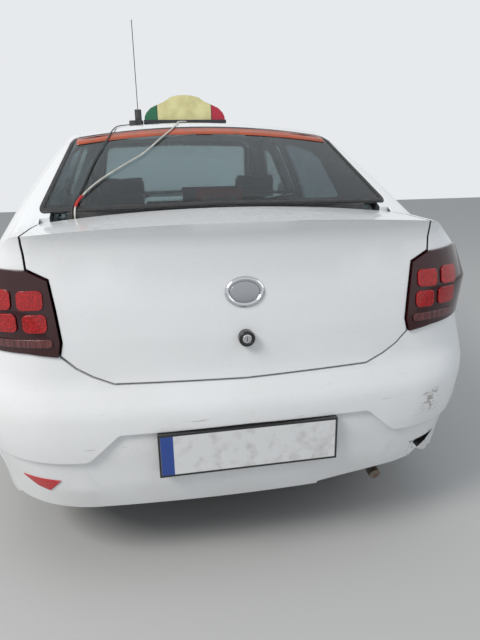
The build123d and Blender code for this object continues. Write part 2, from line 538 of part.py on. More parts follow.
# Knuckle with strut: carrier, stub axle, spring and damper along the steering axis.
upright = block(628, 664, 1309, 1389, 212, 420) + block(596, 664, 1325, 1373, 372, 420)
ball = Pos(*KINGPIN_LOW) * Cylinder(15, 40) + block(640, 700, 1332, 1366, 206, 228)
stub = disc_x(650, 742, FRONT_AXLE_Y, AXLE_Z, STUB_RADIUS)
damper = rod((614, FRONT_AXLE_Y, 380), (588, FRONT_AXLE_Y, 700), 23) + rod((588, FRONT_AXLE_Y, 690), (576, FRONT_AXLE_Y, 838), 11)
spring_seat = rod((592, FRONT_AXLE_Y, 650), (591, FRONT_AXLE_Y, 658), 66)
spring = rod((591, FRONT_AXLE_Y, 655), (578, FRONT_AXLE_Y, 822), 54) - rod((592, FRONT_AXLE_Y, 640), (577, FRONT_AXLE_Y, 835), 42)
spring_cap = rod((578, FRONT_AXLE_Y, 818), (577, FRONT_AXLE_Y, 830), 64)
caliper = block(664, 758, 1215, 1275, 262, 372) - disc_x(711, 737, FRONT_AXLE_Y, AXLE_Z, 136)
caliper += block(644, 668, 1250, 1330, 290, 330)
knuckle_right = upright + stub + damper + spring_seat + spring + spring_cap + caliper + ball

# Wheels: tyre and rim turned about the axle, brake disc or drum on the rim.
tyre_half = [(0, 311), (62, 309), (84, 300), (92.5, 262), (90, 225), (78, 200), (72, 190), (0, 190)]
rim_section = [(-70, 189.7), (70, 189.7), (70, 176), (52, 168), (-52, 168), (-70, 176)]


def tyre(x, y):
    points = tyre_half + [(-a, r) for a, r in reversed(tyre_half) if a > 0]
    profile = make_face(Polyline(*[(x + a, y, AXLE_Z + r) for a, r in points], close=True))
    solid = revolve(profile, Axis((x, y, AXLE_Z), (1, 0, 0)))
    for groove in (-42, 0, 42):
        solid = solid - (disc_x(x + groove - 4, x + groove + 4, y, AXLE_Z, 320) - disc_x(
            x + groove - 5, x + groove + 5, y, AXLE_Z, 303))
    return solid


def rim(x, y, disc_radius, drum):
    """Pressed wheel with a dished face and ten slots, its hub bored for the stub, and the brake inside."""
    barrel = make_face(Polyline(*[(x + a, y, AXLE_Z + r) for a, r in rim_section], close=True))
    wheel = revolve(barrel, Axis((x, y, AXLE_Z), (1, 0, 0)))
    face = disc_x(x + 38, x + 46, y, AXLE_Z, 170) + disc_x(x + 20, x + 52, y, AXLE_Z, 62)
    for number in range(10):
        angle = math.radians(36 * number)
        face = face - disc_x(x, x + 90, y + 120 * math.sin(angle), AXLE_Z + 120 * math.cos(angle), 19)
    brake = disc_x(x - drum, x + 22, y, AXLE_Z, 62) + disc_x(x - drum, x - drum + 12, y, AXLE_Z, disc_radius)
    return wheel + face + brake - disc_x(x - 100, x + 8, y, AXLE_Z, STUB_RADIUS + 0.6)


# Rear axle: trailing arms with stubs, twist beam, springs and dampers.
axle_half = rod((545, -885, 320), (560, -1240, AXLE_Z), 24) + block(540, 640, -1330, -1238, 270, 352)
axle_half += disc_x(630, 738, REAR_AXLE_Y, AXLE_Z, STUB_RADIUS) + disc_x(515, 575, -885, 320, 32)
axle_half += block(520, 570, -900, -870, 330, 394)
axle_half += Pos(480, -1180, 310) * Cylinder(52, 85, align=(Align.CENTER, Align.CENTER, Align.MIN))
axle_half += block(430, 560, -1235, -1125, 296, 312) + rod((552, -1318, 300), (524, -1364, 380), 20)
rear_axle = both(axle_half) + rod((-556, -1110, 308), (556, -1110, 308), 30)



def pipe(points, radius, bend):
    """A round pipe through the points, with one bend radius."""
    path = FilletPolyline(*points, radius=bend)
    return sweep(Plane(points[0], z_dir=Vector(*points[1]) - Vector(*points[0])) * Circle(radius), path)


exhaust = pipe([(60, 1180, 250), (0, 905, 222), (0, -760, 222), (150, -1000, 232), (330, -1400, 250), (430, -1500, 268)], 22, 70)
exhaust += rod((430, -1460, 275), (430, -1960, 275), 78) + rod((450, -1940, 250), (458, -2056, 216), 20)
exhaust += block(425, 435, -1700, -1690, 340, 395)
fuel_tank = block(-500, 15, -1035, -840, 205, 379)
fuel_tank = fillet(fuel_tank.edges(), 28) + block(-400, -100, -960, -900, 370, 395)

# Inside: dashboard with console and column, steering wheel, seats.
dashboard = side_prism(DASH_SIDE, -672, 672) + block(-95, 95, -60, 700, 301, 430) + block(-110, 110, 560, 700, 420, 700)
dashboard += rod((WHEEL_X, 640, 700), (WHEEL_X, 464, 781), 34) + rod((0, 160, 420), (-5, 130, 560), 12)
dashboard += Pos(-5, 128, 570) * Sphere(24) + rod((-30, -40, 430), (-30, 110, 520), 11)
wheel_plane = Plane(STEER_CENTRE, x_dir=(1, 0, 0), z_dir=STEER_AXIS)
steering_wheel = wheel_plane * (Torus(182, 15) + Cylinder(46, 40) + Box(340, 46, 16)
                                + Pos(0, -90, 0) * Box(40, 170, 16))
seat_parts = side_prism(SEAT_CUSHION, 125, 620) + side_prism(SEAT_BACK, 135, 610)
front_seat = seat_parts + side_prism(HEADREST, 245, 500) + block(180, 230, -210, 180, 208, 330)
front_seat = front_seat + block(515, 565, -210, 180, 208, 330) + block(290, 310, -470, -440, 980, 1040)
front_seat = front_seat + block(440, 460, -470, -440, 980, 1040)
bench = side_prism(BENCH_CUSHION, -575, 575) + both(block(570, 640, -888, -600, 418, 540))
bench = bench + side_prism(BENCH_BACK, -570, 570)
for head_x in (-350, 350):
    bench = bench + side_prism(BENCH_HEAD, head_x - 130, head_x + 130)
bench = bench - whole_floor

# Plates, reflector, high brake lamp.
rear_plate = block(-PLATE[0] / 2, PLATE[0] / 2, REAR - 6, REAR + 32, PLATE_Z, PLATE_Z + PLATE[1])
rear_plate = rear_plate - Pos(0, CREASE_STEP, 0) * lower
front_plate = block(-PLATE[0] / 2, PLATE[0] / 2, FRONT - 34, FRONT + 6, 455, 455 + PLATE[1]) - lower
reflector_hole = end_prism(REFLECTOR, -2300, -1900)
reflector = Pos(0, CREASE_STEP - 3, 0) * bumper_skin & mirrored(reflector_hole)
rear_bumper = rear_bumper - reflector - reflector_hole
high_brake_lamp = block(LAMP_X - 128, LAMP_X + 128, -1608, -1550, 1092, 1168) + block(LAMP_X - 83, LAMP_X + 83, -1614, -1600, 1132, 1164)

# Roof sign: black foot and a three-part lit hood with quarter-round ends; antenna on its magnetic foot.
roof_sign = block(SIGN_X - 250, SIGN_X + 250, SIGN_Y - 62, SIGN_Y + 62, SIGN_Z, SIGN_Z + 20)
sign_half = [(0, 20), (245, 20), (243, 40), (232, 62), (205, 88), (170, 104), (120, 124), (85, 148), (45, 158), (0, 161)]
sign_outline = [(x, z) for x, z in sign_half] + [(-x, z) for x, z in reversed(sign_half) if x > 0]
hood = Pos(SIGN_X, 0, SIGN_Z) * end_prism(sign_outline, SIGN_Y - 46, SIGN_Y + 46)
sign_gland = rod((SIGN_X, SIGN_Y - 60, 1507), SIGN_LEAD[0], 6)
roof_sign = (roof_sign + hood + sign_gland) - roof_panel
antenna_x, antenna_y, antenna_z = ANTENNA_FOOT
antenna = Pos(antenna_x, antenna_y, antenna_z) * Cylinder(42, 26, align=(Align.CENTER, Align.CENTER, Align.MIN))
antenna += Pos(antenna_x + 14, antenna_y, antenna_z + 20) * Cylinder(20, 68, align=(Align.CENTER, Align.CENTER, Align.MIN))
antenna += rod((antenna_x + 14, antenna_y, antenna_z + 70), (antenna_x + 14, antenna_y - 20, antenna_z + 560), 2.2)
antenna += block(antenna_x - 6, antenna_x + 6, ANTENNA_LEAD[0][1], antenna_y - 36, 1486, 1500)
antenna = antenna - roof_panel


def lead(points, radius):
    """A round lead of straight runs joined by tangent arcs."""
    corners = [Vector(*point) for point in points]
    radii = []
    for before, at, after in zip(corners, corners[1:], corners[2:]):
        half_turn = math.radians((at - before).get_angle(after - at)) / 2
        radii.append(0.45 * min((at - before).length, (after - at).length) / math.tan(half_turn))
    path = FilletPolyline(*corners, radius=radii)
    swept = sweep(Plane(corners[0], z_dir=corners[1] - corners[0]) * Circle(radius), path)
    print(f"lead: radii {min(radii):.0f} mm and more, volume over section times length "
          f"{swept.volume / (math.pi * radius ** 2 * path.length):.4f}, length {path.length:.0f} mm")
    return swept


sign_lead = lead(SIGN_LEAD, 3)
antenna_lead = lead(ANTENNA_LEAD, 2.5)

pieces = {
    "floor_pan": floor_pan,
    "engine_bay_frame": engine_bay,
    "body_side_right": body_side_right,
    "body_side_left": mirrored(body_side_right),
    "roof_panel": roof_panel,
    "rear_shelf": rear_shelf,
    "rear_panel": rear_panel,
    "front_wings": both(wing_right),
    "front_bumper": front_bumper,
    "rear_bumper": rear_bumper,
    "bonnet": bonnet,
    "boot_lid": boot_lid,
    "windscreen": windscreen,
    "rear_window": rear_window,
    "headlamps": both(headlamp_right),
    "tail_lamps": both(tail_lamp_right),
    "tail_lamp_cells": both(lamp_cells_right),
    "reflector": reflector,
    "grille": grille,
    "number_plates": rear_plate + front_plate,
    "wipers": wipers,
    "dashboard": dashboard,
    "steering_wheel": steering_wheel,
    "front_seats": both(front_seat),
    "rear_bench": bench,
    "engine_block": engine,
    "front_subframe": subframe,
    "rear_axle": rear_axle,
    "exhaust": exhaust,
    "fuel_tank": fuel_tank,
    "high_brake_lamp": high_brake_lamp,
    "roof_sign": roof_sign,
    "antenna": antenna,
    "sign_lead": sign_lead,
    "antenna_lead": antenna_lead,
    "boot_floor": boot_floor,
}
front_tyre = tyre(FRONT_TRACK_X, FRONT_AXLE_Y)
rear_tyre = tyre(REAR_TRACK_X, REAR_AXLE_Y)
front_rim = rim(FRONT_TRACK_X, FRONT_AXLE_Y, 130, 30)
rear_rim = rim(REAR_TRACK_X, REAR_AXLE_Y, 116, 72)
for side, turn in (("right", lambda shape: shape), ("left", mirrored)):
    pieces["front_door_" + side] = turn(front_door)
    pieces["rear_door_" + side] = turn(rear_door)
    pieces["front_door_glass_" + side] = turn(front_door_glass)
    pieces["rear_door_glass_" + side] = turn(rear_door_glass)
    pieces["mirror_" + side] = turn(mirror_right)
    pieces["knuckle_" + side] = turn(knuckle_right)
    pieces["front_tyre_" + side] = turn(front_tyre)
    pieces["rear_tyre_" + side] = turn(rear_tyre)
    pieces["front_rim_" + side] = turn(front_rim)
    pieces["rear_rim_" + side] = turn(rear_rim)

for name, shape in pieces.items():
    export_step(shape, f"parts/{name}.step")
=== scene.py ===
import math

import bmesh
import bpy
from mathutils import Matrix, Vector
from mathutils.bvhtree import BVHTree


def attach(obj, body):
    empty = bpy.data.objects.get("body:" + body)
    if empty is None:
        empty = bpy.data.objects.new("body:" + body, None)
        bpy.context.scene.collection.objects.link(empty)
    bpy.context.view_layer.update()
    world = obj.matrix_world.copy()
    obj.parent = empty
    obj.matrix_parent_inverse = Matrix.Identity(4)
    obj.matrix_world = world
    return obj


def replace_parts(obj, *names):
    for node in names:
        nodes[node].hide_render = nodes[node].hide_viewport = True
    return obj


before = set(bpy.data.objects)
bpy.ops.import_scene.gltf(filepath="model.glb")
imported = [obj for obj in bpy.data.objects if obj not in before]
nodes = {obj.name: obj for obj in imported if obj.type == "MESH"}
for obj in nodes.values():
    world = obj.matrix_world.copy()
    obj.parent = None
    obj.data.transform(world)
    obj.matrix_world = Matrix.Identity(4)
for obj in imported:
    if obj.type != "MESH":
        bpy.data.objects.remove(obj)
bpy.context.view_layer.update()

# The camera stands low behind the car, a little left of its middle, as the photograph was taken: a phone's
# wide lens held upright at chest height.
EYE = (-0.245005, -3.468719, 1.235999)
HEADING = -0.1706325
TILT = -0.2932806
ROLL = -0.0193938
SENSOR_HEIGHT = 36.0
FOCAL_LENGTH_IN_PIXELS = 506.1986
PICTURE_HEIGHT_IN_PIXELS = 640.0


def placed(name, data):
    """A new object in the scene."""
    obj = bpy.data.objects.new(name, data)
    bpy.context.collection.objects.link(obj)
    return obj


camera = placed("view_from_behind", bpy.data.cameras.new("view_from_behind"))
camera.data.sensor_fit = "VERTICAL"
camera.data.sensor_height = SENSOR_HEIGHT
camera.data.lens = FOCAL_LENGTH_IN_PIXELS * SENSOR_HEIGHT / PICTURE_HEIGHT_IN_PIXELS
camera.matrix_world = (
    Matrix.Translation(EYE)
    @ Matrix.Rotation(HEADING, 4, "Z")
    @ Matrix.Rotation(math.pi / 2 + TILT, 4, "X")
    @ Matrix.Rotation(ROLL, 4, "Z")
)
bpy.context.scene.camera = camera

# Two leads lie on the roof and over the rear window: a white one from the lit sign and a thin black one
# from the aerial. They go down into the gutter of the boot, and red tape holds the white one at its lower
# end.
SIGN_ROUTE = (
    (0.012, -0.172, 1.507), (0.010, -0.232, 1.503), (0.004, -0.300, 1.497), (-0.008, -0.378, 1.491),
    (-0.014, -0.458, 1.484), (-0.022, -0.540, 1.477), (-0.033, -0.622, 1.471), (-0.047, -0.702, 1.464),
    (-0.057, -0.782, 1.457), (-0.065, -0.862, 1.451), (-0.078, -0.942, 1.443), (-0.087, -1.020, 1.436),
    (-0.094, -1.096, 1.429), (-0.106, -1.166, 1.414), (-0.136, -1.232, 1.385), (-0.178, -1.290, 1.354),
    (-0.214, -1.352, 1.322), (-0.251, -1.410, 1.291), (-0.300, -1.458, 1.265), (-0.349, -1.512, 1.236),
    (-0.396, -1.562, 1.209), (-0.434, -1.615, 1.181), (-0.460, -1.664, 1.155), (-0.473, -1.693, 1.139),
    (-0.478, -1.716, 1.127), (-0.480, -1.752, 1.108), (-0.480, -1.752, 1.068),
)
AERIAL_ROUTE = (
    (-0.283, -0.206, 1.493), (-0.285, -0.262, 1.489), (-0.291, -0.325, 1.482), (-0.298, -0.390, 1.477),
    (-0.302, -0.460, 1.471), (-0.309, -0.528, 1.464), (-0.319, -0.596, 1.458), (-0.328, -0.664, 1.451),
    (-0.336, -0.732, 1.445), (-0.340, -0.800, 1.439), (-0.350, -0.868, 1.433), (-0.354, -0.936, 1.426),
    (-0.353, -1.004, 1.420), (-0.357, -1.072, 1.414), (-0.364, -1.140, 1.402), (-0.373, -1.206, 1.386),
    (-0.383, -1.268, 1.359), (-0.401, -1.330, 1.326), (-0.420, -1.392, 1.293), (-0.434, -1.456, 1.260),
    (-0.447, -1.520, 1.227), (-0.457, -1.580, 1.197), (-0.468, -1.634, 1.169), (-0.480, -1.680, 1.145),
    (-0.487, -1.716, 1.126), (-0.489, -1.752, 1.108), (-0.489, -1.752, 1.068),
)
SIGN_LEAD_RADIUS = 0.003
AERIAL_LEAD_RADIUS = 0.0025
TAPE_RADIUS = 0.0046
TAPE_FRONT = -1.662
TAPE_REAR = -1.728
TAPE_LOWEST = 1.115


def new_finish(name, colour, roughness, metallic=0.0):
    """A material and its Principled shader."""
    finish = bpy.data.materials.new(name)
    finish.use_nodes = True
    shader = finish.node_tree.nodes["Principled BSDF"]
    shader.inputs["Base Color"].default_value = (*colour, 1.0)
    shader.inputs["Roughness"].default_value = roughness
    shader.inputs["Metallic"].default_value = metallic
    finish.diffuse_color = (*colour, 1.0)
    return finish, shader


def add(beside, kind, **settings):
    """A new node in the tree that a node, socket or tree belongs to."""
    node = beside.id_data.nodes.new(kind)
    for key, value in settings.items():
        setattr(node, key, value)
    return node


def link(source, target):
    """Joins two sockets."""
    source.id_data.links.new(source, target)


def grain(shader, scale, detail=4.0, stretch=(1.0, 1.0, 1.0)):
    """Noise in the piece's own coordinates, so that it moves with the piece."""
    place = add(shader, "ShaderNodeTexCoord")
    sized = add(shader, "ShaderNodeMapping")
    sized.inputs["Scale"].default_value = stretch
    noise = add(shader, "ShaderNodeTexNoise")
    noise.inputs["Scale"].default_value = scale
    noise.inputs["Detail"].default_value = detail
    link(place.outputs["Object"], sized.inputs["Vector"])
    link(sized.outputs["Vector"], noise.inputs["Vector"])
    return noise.outputs["Fac"]


def between(source, low, high, low_value=0.0, high_value=1.0):
    """Remaps a value from low..high to low_value..high_value, held at the ends."""
    span = add(source, "ShaderNodeMapRange")
    span.inputs["From Min"].default_value = low
    span.inputs["From Max"].default_value = high
    span.inputs["To Min"].default_value = low_value
    span.inputs["To Max"].default_value = high_value
    link(source, span.inputs["Value"])
    return span.outputs["Result"]


def mixed(amount, first, second):
    """Mixes two colours, each a socket or an RGB triple."""
    mix = add(amount, "ShaderNodeMix", data_type="RGBA")
    link(amount, mix.inputs["Factor"])
    for name, colour in (("A", first), ("B", second)):
        socket = [s for s in mix.inputs if s.name == name and s.type == "RGBA"][0]
        if isinstance(colour, tuple):
            socket.default_value = (*colour, 1.0)
        else:
            link(colour, socket)
    return [s for s in mix.outputs if s.type == "RGBA"][0]


def mottled(shader, scale, detail, low, high, first, second):
    """Colours a finish in two shades, parted where noise passes from low to high."""
    patches = between(grain(shader, scale, detail), low, high)
    link(mixed(patches, first, second), shader.inputs["Base Color"])


def combined(first, second, operation="MULTIPLY"):
    sum_or_product = add(first, "ShaderNodeMath", operation=operation)
    link(first, sum_or_product.inputs[0])
    link(second, sum_or_product.inputs[1])
    return sum_or_product.outputs[0]


def bump(shader, height, strength, distance):
    raised = add(shader, "ShaderNodeBump")
    raised.inputs["Strength"].default_value = strength
    raised.inputs["Distance"].default_value = distance
    link(height, raised.inputs["Height"])
    link(raised.outputs["Normal"], shader.inputs["Normal"])
    return raised


def folded_edges(shader, radius, raised):
    """Sheet folds over and mouldings round off at their edges, so the light catches them."""
    fold = add(shader, "ShaderNodeBevel", samples=4)
    fold.inputs["Radius"].default_value = radius
    link(fold.outputs["Normal"], raised.inputs["Normal"])


def grained(shader, scale, detail, strength, distance, edge=None):
    """Raises a finish in fine grains, and folds its edges where a radius is given."""
    raised = bump(shader, grain(shader, scale, detail), strength, distance)
    if edge:
        folded_edges(shader, edge, raised)


def in_scene(name, data, finish, body, smooth=True):
    """Puts a piece in the scene with its finish, riding on a body."""
    data.materials.clear()
    data.materials.append(finish)
    if smooth and hasattr(data, "polygons"):
        data.polygons.foreach_set("use_smooth", [True] * len(data.polygons))
    obj = placed(name, data)
    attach(obj, body)
    return obj


def smooth_line(name, route, radius):
    """One NURBS curve with the route's points as its control points."""
    curve = bpy.data.curves.new(name, "CURVE")
    curve.dimensions = "3D"
    spline = curve.splines.new("NURBS")
    spline.points.add(len(route) - 1)
    for point, spot in zip(spline.points, route):
        point.co = (*spot, 1.0)
    spline.order_u = 3
    spline.use_endpoint_u = True
    curve.resolution_u = 8
    curve.bevel_depth = radius
    curve.bevel_resolution = 3
    return curve


def settled(obj):
    """The piece's mesh as it is shown, with its modifiers applied."""
    bpy.context.view_layer.update()
    return bpy.data.meshes.new_from_object(obj.evaluated_get(bpy.context.evaluated_depsgraph_get()))


def line_mesh(name, route, radius):
    """The mesh of a smooth line."""
    line = placed(name, smooth_line(name, route, radius))
    mesh = settled(line)
    bpy.data.objects.remove(line)
    return mesh


white_vinyl, shader = new_finish("white_vinyl", (0.72, 0.70, 0.64), 0.5)
mottled(shader, 40.0, 6.0, 0.35, 0.75, (0.74, 0.72, 0.67), (0.42, 0.39, 0.33))
grained(shader, 600.0, 4.0, 0.08, 0.0004)
black_vinyl, shader = new_finish("black_vinyl", (0.015, 0.015, 0.016), 0.5)
mottled(shader, 60.0, 6.0, 0.4, 0.8, (0.014, 0.014, 0.015), (0.06, 0.055, 0.05))
grained(shader, 700.0, 4.0, 0.08, 0.0004)
red_tape, shader = new_finish("red_tape", (0.50, 0.02, 0.015), 0.55)
bump(shader, grain(shader, 90.0, 3.0, (1.0, 4.0, 4.0)), 0.4, 0.001)

sign_line = smooth_line("roof_sign_lead", SIGN_ROUTE, SIGN_LEAD_RADIUS)
sign_lead = in_scene("roof_sign_lead", sign_line, white_vinyl, "car_body")
middle_points = [tuple(v.co) for v in line_mesh("middle_line", SIGN_ROUTE, 0.0).vertices]
tape_route = [(x, y, z) for x, y, z in middle_points if TAPE_REAR < y < TAPE_FRONT and z > TAPE_LOWEST]
tape_mesh = line_mesh("tape_line", tape_route, TAPE_RADIUS)
tape = in_scene("red_tape_sleeve", tape_mesh, red_tape, "car_body")
aerial_line = smooth_line("aerial_lead", AERIAL_ROUTE, AERIAL_LEAD_RADIUS)
aerial_lead = in_scene("aerial_lead", aerial_line, black_vinyl, "car_body")
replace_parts(sign_lead, "sign_lead")
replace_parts(aerial_lead, "antenna_lead")

# Paint on the pressed body panels: solid white enamel under clear lacquer, with a film of road dust that is
# thickest low down. The doors and pillars are lined with dark trim inside, and the roof with pale felt.
WHITE = (0.80, 0.815, 0.83)
DUST = (0.47, 0.44, 0.39)
OUTER_PANELS = ("body_side_right", "body_side_left", "roof_panel", "front_door_right", "front_door_left",
                "rear_door_right", "rear_door_left", "rear_panel", "front_wings", "bonnet", "boot_lid",
                "engine_bay_frame")


def axis_value(shader, name, output="Object"):
    """One coordinate of the piece's own place, or of its surface's direction."""
    place = add(shader, "ShaderNodeTexCoord")
    split = add(shader, "ShaderNodeSeparateXYZ")
    link(place.outputs[output], split.inputs["Vector"])
    return split.outputs[name]


def within(shader, soft=0.001, **ranges):
    """1 inside a box given as ranges of X, Y or Z in metres, 0 outside."""
    inside = None
    for name, (low, high) in ranges.items():
        value = axis_value(shader, name)
        above = between(value, low - soft, low + soft)
        below = between(value, high - soft, high + soft, 1.0, 0.0)
        part = combined(above, below)
        inside = part if inside is None else combined(inside, part)
    return inside


def road_film(shader):
    """How thick the road dust lies: most near the ground, patchy, with specks."""
    low_down = between(axis_value(shader, "Z"), 0.15, 0.95, 1.0, 0.16)
    patches = between(grain(shader, 5.0, 8.0), 0.32, 0.72)
    specks = between(grain(shader, 190.0, 2.0), 0.60, 0.72, 0.30, 1.0)
    return combined(combined(low_down, patches), specks)


def smooth_by_angle():
    """Geometry nodes that shade smooth, except across edges that turn more than an angle in degrees."""
    group = bpy.data.node_groups.new("smooth_by_angle", "GeometryNodeTree")
    group.interface.new_socket("Geometry", in_out="INPUT", socket_type="NodeSocketGeometry")
    group.interface.new_socket("Angle", in_out="INPUT", socket_type="NodeSocketFloat")
    group.interface.new_socket("Geometry", in_out="OUTPUT", socket_type="NodeSocketGeometry")
    start = add(group, "NodeGroupInput")
    end = add(group, "NodeGroupOutput")
    faces = add(group, "GeometryNodeSetShadeSmooth")
    edges = add(group, "GeometryNodeSetShadeSmooth", domain="EDGE")
    turn = add(group, "GeometryNodeInputMeshEdgeAngle")
    radians = add(group, "ShaderNodeMath", operation="RADIANS")
    gentle = add(group, "FunctionNodeCompare", operation="LESS_THAN")
    for source, target in (
        (start.outputs["Geometry"], faces.inputs["Geometry"]),
        (faces.outputs["Geometry"], edges.inputs["Geometry"]),
        (start.outputs["Angle"], radians.inputs[0]),
        (turn.outputs["Unsigned Angle"], gentle.inputs["A"]),
        (radians.outputs[0], gentle.inputs["B"]),
        (gentle.outputs["Result"], edges.inputs["Shade Smooth"]),
        (edges.outputs["Geometry"], end.inputs["Geometry"]),
    ):
        link(source, target)
    return group


SMOOTHING = smooth_by_angle()
ANGLE_SOCKET = [item.identifier for item in SMOOTHING.interface.items_tree if item.name == "Angle"][0]


def smooth_shading(obj, angle=28.0):
    """Smooth across gentle facets, sharp at real edges, by modifiers that leave the mesh as it is."""
    obj.modifiers.new("joined_points", "WELD").merge_threshold = 0.00002
    modifier = obj.modifiers.new("smooth_by_angle", "NODES")
    modifier.node_group = SMOOTHING
    modifier[ANGLE_SOCKET] = angle


def lacquer(shader, weight, roughness=0.03):
    """A clear coat over a finish."""
    shader.inputs["Coat Weight"].default_value = weight
    shader.inputs["Coat Roughness"].default_value = roughness


def dress(finish, *names):
    """Gives CAD nodes their finish and soft shading."""
    for name in names:
        obj = nodes[name]
        obj.data.materials.clear()
        obj.data.materials.append(finish)
        smooth_shading(obj)


def near_axis(shader, x, z, radius):
    """1 inside a round rod that runs along the car at (x, z), 0 outside."""
    squares = []
    for name, middle in (("X", x), ("Z", z)):
        away = add(shader, "ShaderNodeMath", operation="SUBTRACT")
        link(axis_value(shader, name), away.inputs[0])
        away.inputs[1].default_value = middle
        squares.append(combined(away.outputs[0], away.outputs[0]))
    total = combined(*squares, "ADD")
    return between(total, radius ** 2 * 0.98, radius ** 2 * 1.02, 1.0, 0.0)


def enamel(name, lined):
    """White enamel, lined on the faces that look into the cabin where the panel has a lining."""
    finish, shader = new_finish(name, WHITE, 0.26)
    lacquer(shader, 0.5, 0.05)
    film = road_film(shader)
    colour = mixed(between(film, 0.0, 1.0, 0.0, 0.6), WHITE, DUST)
    roughness = between(film, 0.0, 1.0, 0.26, 0.75)
    if lined:
        facing = combined(axis_value(shader, "X", "Normal"), axis_value(shader, "X"))
        over_floor = between(axis_value(shader, "Z"), 0.24, 0.26)
        inward = combined(between(facing, -0.30, -0.18, 1.0, 0.0), over_floor)
        colour = mixed(inward, colour, (0.05, 0.051, 0.055))
        under = combined(between(axis_value(shader, "Z", "Normal"), -0.45, -0.3, 1.0, 0.0),
                         between(axis_value(shader, "Z"), 1.18, 1.2))
        colour = mixed(under, colour, (0.33, 0.32, 0.30))
        roughness = combined(roughness, combined(inward, under, "MAXIMUM"), "MAXIMUM")
    else:
        lock_body = combined(near_axis(shader, 0.004, 0.771, 0.0233), within(shader, 0.001, Y=(-2.3, -2.0)))
        colour = mixed(lock_body, colour, (0.012, 0.012, 0.013))
    link(colour, shader.inputs["Base Color"])
    link(roughness, shader.inputs["Roughness"])
    grained(shader, 900.0, 2.0, 0.02, 0.001, edge=0.0035)
    return finish


dress(enamel("lined_white_enamel", True), *OUTER_PANELS[:7])
dress(enamel("white_enamel", False), *OUTER_PANELS[7:])

# Both bumpers are moulded in flexible plastic and sprayed to match, a little duller than the sheet. The
# rear one has a grey parking scuff on the right, chips round the empty place of a reflector, and scratches
# on its ledge, and the wall seen through that empty hole is painted near-black as painted shade. The front
# one has black bars in its intake.
bumper_paint, shader = new_finish("white_bumper_paint", WHITE, 0.34)
lacquer(shader, 0.4, 0.1)
film = road_film(shader)
colour = mixed(between(film, 0.0, 1.0, 0.0, 0.75), WHITE, DUST)
scuff_place = within(shader, 0.012, X=(0.565, 0.622), Y=(-2.3, -1.7), Z=(0.488, 0.556))
scuffed = combined(scuff_place, between(grain(shader, 95.0, 8.0, (0.35, 1.0, 1.3)), 0.50, 0.60))
colour = mixed(between(scuffed, 0.0, 1.0, 0.0, 0.8), colour, (0.30, 0.27, 0.24))
ledge = within(shader, 0.03, X=(-0.55, 0.62), Y=(-2.3, -1.9), Z=(0.42, 0.60))
streak = combined(ledge, between(grain(shader, 9.0, 8.0, (1.0, 1.0, 14.0)), 0.66, 0.70))
colour = mixed(between(streak, 0.0, 1.0, 0.0, 0.5), colour, (0.36, 0.34, 0.32))
facing_front = between(axis_value(shader, "Y", "Normal"), 0.1, 0.3)
unpainted = combined(facing_front, within(shader, 0.01, Y=(-2.3, -1.5)))
colour = mixed(unpainted, colour, (0.05, 0.048, 0.045))
intake_bars = within(shader, 0.001, X=(-0.425, 0.425), Y=(1.9, 2.16), Z=(0.2625, 0.3995))
colour = mixed(intake_bars, colour, (0.022, 0.022, 0.024))
# Painted shade: the back-facing wall seen through the empty reflector hole is coloured near-black.
facing_back = between(axis_value(shader, "Y", "Normal"), -0.4, -0.3)
hole_shade_box = within(shader, 0.001, X=(0.551, 0.673), Y=(-2.3, -1.9), Z=(0.319, 0.367))
painted_hole_shade = combined(hole_shade_box, facing_back)
colour = mixed(painted_hole_shade, colour, (0.03, 0.03, 0.03))
round_the_hole = within(shader, 0.006, X=(0.54, 0.70), Y=(-2.3, -1.9), Z=(0.290, 0.375))
chipped = combined(round_the_hole, between(grain(shader, 70.0, 6.0), 0.60, 0.66))
colour = mixed(chipped, colour, (0.16, 0.15, 0.14))
link(colour, shader.inputs["Base Color"])
link(between(film, 0.0, 1.0, 0.34, 0.8), shader.inputs["Roughness"])
grained(shader, 700.0, 2.0, 0.03, 0.001, edge=0.004)
dress(bumper_paint, "rear_bumper", "front_bumper")

# The floor under the cabin and the boot is pressed sheet, with a black underseal below and dark grey
# needled carpet above.
underseal, shader = new_finish("floor_coverings", (0.02, 0.02, 0.02), 0.9)
upper_side = between(axis_value(shader, "Z", "Normal"), 0.2, 0.5)
tufts = between(grain(shader, 180.0, 3.0), 0.35, 0.7)
pile = mixed(tufts, (0.028, 0.029, 0.032), (0.07, 0.07, 0.074))
tar = mixed(between(grain(shader, 12.0, 6.0), 0.45, 0.7), (0.018, 0.018, 0.018), (0.12, 0.10, 0.08))
link(mixed(upper_side, tar, pile), shader.inputs["Base Color"])
grained(shader, 400.0, 3.0, 0.5, 0.002)
dress(underseal, "floor_pan", "boot_floor")

# Windows of toughened glass: clear and green-tinged in front, a dark film on the rear ones, and dried rain
# spots and dust over all of them.
for name, tint, spots, density, panes in (
    ("clear_glass", (0.68, 0.76, 0.74), 0.10, 1.45,
     ("windscreen", "front_door_glass_right", "front_door_glass_left")),
    ("dark_film_glass", (0.27, 0.35, 0.38), 0.16, 1.36,
     ("rear_window", "rear_door_glass_right", "rear_door_glass_left")),
):
    glass, shader = new_finish(name, tint, 0.02)
    shader.inputs["IOR"].default_value = density
    clouds = between(grain(shader, 7.0, 6.0), 0.35, 0.75, 0.25, 1.0)
    dried = combined(between(grain(shader, 130.0, 3.0), 0.58, 0.70), clouds)
    link(mixed(dried, tint, (0.20, 0.22, 0.23)), shader.inputs["Base Color"])
    link(between(dried, 0.0, 1.0, 1.0, 1.0 - spots), shader.inputs["Transmission Weight"])
    link(between(dried, 0.0, 1.0, 0.02, 0.35), shader.inputs["Roughness"])
    dress(glass, *panes)

